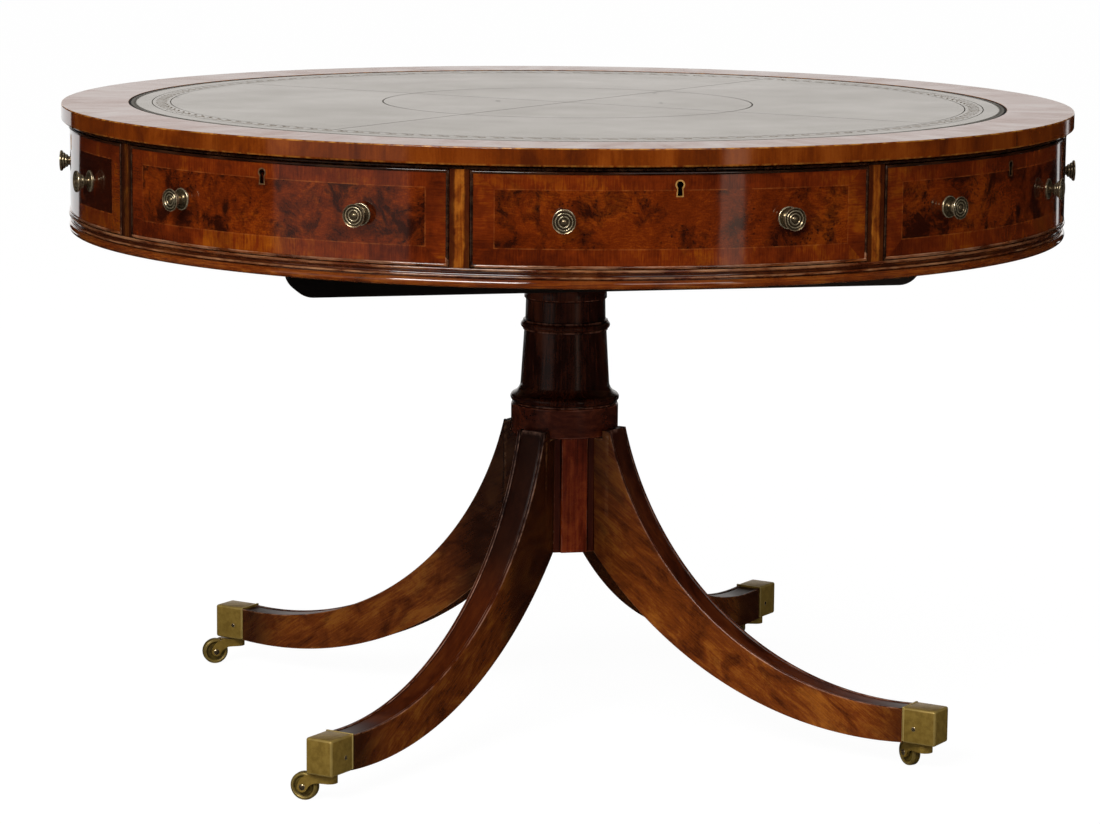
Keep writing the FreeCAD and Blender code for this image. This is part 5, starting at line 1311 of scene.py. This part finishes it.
def round_from(circle, first, last, steps):
    """Points on a circle from one angle to another, each with the way out from the centre."""
    path = []
    for step in range(steps + 1):
        turn = first + (last - first) * step / steps
        out = Vector((math.cos(turn), math.sin(turn)))
        path.append((Vector(circle[:2]) + out * circle[2], out))
    return path


upper_start = UPPER_ARC[0] - math.sqrt(UPPER_ARC[2] ** 2 - (UPPER_ARC[1] - LEG_HEAD) ** 2)
head_points = [(LEG_ROOT, 356.9), (NOTCH, 356.9), (NOTCH + 0.1, LEG_HEAD - 0.6), (NOTCH + 0.7, LEG_HEAD)]
head_points.append((upper_start - 1.2, LEG_HEAD))
upper_path = [(Vector(spot), Vector((0.0, 1.0))) for spot in head_points]
turns = angle_under(UPPER_ARC, upper_start), angle_under(UPPER_ARC, CAP_START)
upper_path += [(spot, -out) for spot, out in round_from(UPPER_ARC, *turns, STATIONS)]
count = len(upper_path)
turns = angle_under(LOWER_ARC, LEG_ROOT), angle_under(LOWER_ARC, CAP_START)
lower_path = round_from(LOWER_ARC, *turns, count - 1)
root_height, cap_height = upper_path[0][0].y, upper_path[-1][0].y
print("leg from", round(root_height, 1), "mm at its root to", round(cap_height, 1), "mm at the cap")

# %% Leg section and loft
def upper_section(half):
    """Across the upper face from one side to the other: (sideways, depth below the face)."""
    one_side = [(half, 2.6), (half, 1.3), (half - 0.3, 0.5), (half - 0.9, 0.1), (half - 2.3, 0.0),
                (half - 3.7, 0.05), (half - 4.4, 0.4), (half - 4.75, 1.1), (half - 5.0, 1.5),
                (half - 5.5, 1.35), (half - 6.4, 1.0), (half - 8.0, 0.9)]
    return one_side + [(-y, depth) for y, depth in reversed(one_side)]


def lower_section(half):
    """Across the under side, the other way."""
    one_side = [(-half, 2.2), (-half, 1.3), (-half + 0.35, 0.4), (-half + 1.3, 0.0), (-half + 3.0, 0.0)]
    return one_side + [(-y, depth) for y, depth in reversed(one_side)]


LEG_TAPER = 3.0
points = []
for stations in zip(upper_path, lower_path):
    for (spot, facing), section in zip(stations, (upper_section, lower_section)):
        half = HALF_ROOT - LEG_TAPER * (spot.x - LEG_ROOT) / (CAP_START - LEG_ROOT)
        for y, depth in section(half):
            inner = spot - facing * depth
            points.append((inner.x, y, inner.y))
upper_count = len(upper_section(HALF_ROOT))
across = upper_count + len(lower_section(HALF_ROOT))
faces = [list(range(across)), list(range((count - 1) * across, count * across))[::-1]]
for station in range(count - 1):
    for a in range(across):
        b = (a + 1) % across
        low, high = station * across, (station + 1) * across
        faces.append([low + b, low + a, high + a, high + b])

SLOPE = math.radians(-33.0)


def along_leg(p):
    """Grain straight along the plank that the leg is sawn from."""
    return (p.x * math.cos(SLOPE) + p.z * math.sin(SLOPE), p.y, p.z * math.cos(SLOPE) - p.x * math.sin(SLOPE))


leg_master = new_piece("leg_master", points, faces, along_leg, sharp=42)
# painted shade on each leg, lower than 0 for painted light, and how far from the axis its shaded root reaches
LEG_SHADE = {"front_right": (-0.1, 0.13), "back_right": (0.65, 0.13), "back_left": (0.36, 0.17),
           "front_left": (0.34, 0.19)}
for number, (place, bearing) in enumerate(DUMMIES.items()):
    leg = ring(f"{place}_leg_reeded", leg_master, leg_yew, 1, bearing + TURNED_BY)
    shifted = leg.data.attributes["grain"]
    for entry in shifted.data:
        entry.vector = entry.vector + Vector((0.9 * number, 0.23 * number, 0.0))
    leg.data.materials.append(leg_top_yew)
    for face in leg.data.polygons:
        face.material_index = int(face.index > 1 and 1 < (face.index - 2) % across < upper_count - 3)
    # painted shade, deepest at the root under the block and towards the cap
    dark, root = LEG_SHADE[place]
    paint_shade(leg.data, lambda p: dark + max(0.0, min(0.8, (root - math.hypot(p.x, p.y)) / 0.08),
                                       min(0.7, (math.hypot(p.x, p.y) - 0.41) / 0.09)))
    dress(leg, "pedestal", "polished_yew", None, f"{place}_leg")
clear_away(leg_master)
print("four legs,", len(leg.data.polygons), "faces each")

# %% [markdown]
# ## Toe caps and castors
# Each leg ends in a cast brass box with softened corners and a narrow lip where it meets the wood. Under it a
# small wheel trails in a horn. The cap is a box whose edges are bevelled, which keeps the faces between them
# flat, where a Subdivision modifier would make them bulge. The wheel is turned, and the horn keeps its solid
# and gets soft edges.

# %% Toe caps
def soft_box(name, low, high, rounding, segments):
    """A box with rounded edges and flat faces."""
    shape = bmesh.new()
    bmesh.ops.create_cube(shape, size=1.0)
    for point in shape.verts:
        point.co = [(low[i] + high[i]) / 2 * MM + point.co[i] * (high[i] - low[i]) * MM for i in range(3)]
    bmesh.ops.bevel(shape, geom=shape.edges[:], offset=rounding * MM, segments=segments, profile=0.5,
                    affect="EDGES")
    points = [[part / MM for part in point.co] for point in shape.verts]
    faces = [[point.index for point in face.verts] for face in shape.faces]
    shape.free()
    return new_piece(name, points, faces, sharp=50)


cap_body = soft_box("cap_body", (480.2, -18.0, 34.5), (523.0, 18.0, 77.2), 3.0, 5)
cap_lip = soft_box("cap_lip", (479.9, -18.5, 36.4), (482.6, 18.5, 77.6), 0.6, 3)
cap_master = joined("cap_master", cap_body, cap_lip)
finished(cap_master.data, as_it_stands, sharp=50)
for place, bearing in DUMMIES.items():
    cap = ring(f"{place}_cap_cast", cap_master, cap_brass, 1, bearing + TURNED_BY)
    dress(cap, "pedestal", "brass", None, f"{place}_toe_cap")
clear_away(cap_master)
print("caps", len(cap.data.polygons), "faces each")

# %% Cap screws, two to a cap
screw_section = [(0.0, -0.4), (2.6, -0.4), (2.6, 0.25)] + arc((2.5, 0.32), (0.0, 0.7), 9.0, 4)
screw = turned("screw", screw_section, 24)
slot_cut = soft_box("screw_slot", (-3.0, -0.28, 0.42), (3.0, 0.28, 2.0), 0.05, 1)
slot_cut.data.transform(Matrix.Rotation(0.6, 4, "Z"))
screw_mesh = carved(screw, slot_cut, as_it_stands)
# where the screws enter a cap, in metres
SCREW_REACH, CAP_HALF, SCREW_HEIGHT = 0.495, 0.018, 0.0525
copies = []
for side in (-1, 1):
    copy = placed("screw_side", screw_mesh.copy())
    outward = Matrix.Rotation(-side * math.pi / 2, 4, "X")
    copy.data.transform(Matrix.Translation((SCREW_REACH, side * CAP_HALF, SCREW_HEIGHT)) @ outward)
    copies.append(copy)
screw_pair = joined("screw_pair", *copies)
screws = ring("cap_screws_slotted", screw_pair, knob_brass, 4, -135.0 + TURNED_BY, 90.0)
clear_away(screw_pair)
dress(screws, "pedestal", "brass", None, "cap_screws")
print("screws", len(screws.data.polygons), "faces")

# %% Castor wheels
# the bearing of each wheel's axle in degrees. The wheel trails to the right of it.
HEADINGS = {"front_left": -120.0, "front_right": -161.6, "back_right": -104.0, "back_left": -83.6}
# how far out a castor's stem stands and how far its wheel trails, in metres
STEM_REACH, TRAIL = 0.5015, 0.030
# the wheel's radius and half its width, in millimetres
TREAD, HALF_WHEEL = 16.5, 6.2
wheel_section = [(2.6, -HALF_WHEEL), (4.8, -HALF_WHEEL), (5.4, -5.6), (6.4, -3.7), (11.2, -3.5), (12.4, -4.8)]
wheel_section += arc((13.4, -5.4), (16.4, -3.2), 3.2, 5) + arc((TREAD, -2.4), (TREAD, 2.4), 12.0, 4)
wheel_section += arc((16.4, 3.2), (13.4, 5.4), 3.2, 5) + [(12.4, 4.8), (11.2, 3.5), (6.4, 3.7), (5.4, 5.6)]
wheel_section += [(4.8, HALF_WHEEL), (2.6, HALF_WHEEL)]
wheel_section = [(min(radius, TREAD), side) for radius, side in eased(wheel_section, 0.3, steps=2)]
wheel_flat = turned("wheel_flat", wheel_section, 56, ring=True)
rivet = [(0.0, 9.3), (3.7, 9.3), (3.7, 9.7)] + arc((3.5, 9.9), (0.0, 10.9), 6.6, 4)
rivet_other = [(radius, -height) for radius, height in rivet]
rivet_flat = joined("rivet_flat", turned("rivet_near", rivet, 24), turned("rivet_far", rivet_other, 24))
finished(rivet_flat.data, as_it_stands)
for place, bearing in DUMMIES.items():
    turn = math.radians(bearing + TURNED_BY)
    heading = math.radians(HEADINGS[place] - 90.0)
    middle = Vector((STEM_REACH * math.cos(turn), STEM_REACH * math.sin(turn), TREAD * MM))
    middle += Vector((math.cos(heading), math.sin(heading), 0)) * TRAIL
    stand = Matrix.Translation(middle) @ Matrix.Rotation(heading, 4, "Z")
    stand = stand @ Matrix.Rotation(math.pi / 2, 4, "X")
    wheel = placed(f"{place}_wheel_turned", wheel_flat.data.copy())
    wheel.data.transform(stand)
    dress(wheel, f"{place}_wheel", "brass", wheel_brass, f"{place}_castor_wheel")
    rivets = placed(f"{place}_rivet_heads", rivet_flat.data.copy())
    rivets.data.transform(stand)
    dress(rivets, f"{place}_horn", "brass", knob_brass)
clear_away(wheel_flat, rivet_flat)
print("wheel", len(wheel.data.polygons), "faces")

# %% [markdown]
# ## What keeps its solid
# Boards, bearers, locks, linings and horns have the right shape already. They get their finish and a Weld
# modifier, and those with edges in view get a Bevel modifier too, so that the edges catch a little light.

# %% Finishes and soft edges on the solids that stay
def soften_solid(node, finish, width):
    """Give a solid its finish and soft edges."""
    solid = nodes[node]
    solid.data.materials.clear()
    solid.data.materials.append(finish)
    weld = solid.modifiers.new("weld", "WELD")
    weld.merge_threshold = 0.00001
    if width:
        bevel = solid.modifiers.new("bevel", "BEVEL")
        bevel.width, bevel.segments, bevel.limit_method = width * MM, 2, "ANGLE"
        bevel.angle_limit = math.radians(40)
        bevel.harden_normals = True


soften_solid("bearers", ebonised, 1.2)
soften_solid("top_platform", ebonised, 1.0)
soften_solid("pivot_pin", plain_iron, 0.4)
soften_solid("top_board", inner_pine, 0)
soften_solid("drum_floor", inner_pine, 0)
soften_solid("partitions", inner_pine, 0.6)
soften_solid("dummy_escutcheons", dull_brass, 0)
for place in DRAWERS:
    sideways = place in ("front", "back")
    soften_solid(f"{place}_drawer_sides", drawer_oak_across if sideways else drawer_oak, 0.6)
    soften_solid(f"{place}_drawer_back", drawer_oak if sideways else drawer_oak_across, 0.6)
    soften_solid(f"{place}_drawer_bottom", drawer_oak if sideways else drawer_oak_across, 0.4)
    soften_solid(f"{place}_drawer_lock", lining_brass, 0)
for place in DUMMIES:
    soften_solid(f"{place}_castor_horn", cap_brass, 0.5)
print("solids kept:", sum(not solid.hide_render for solid in nodes.values()))
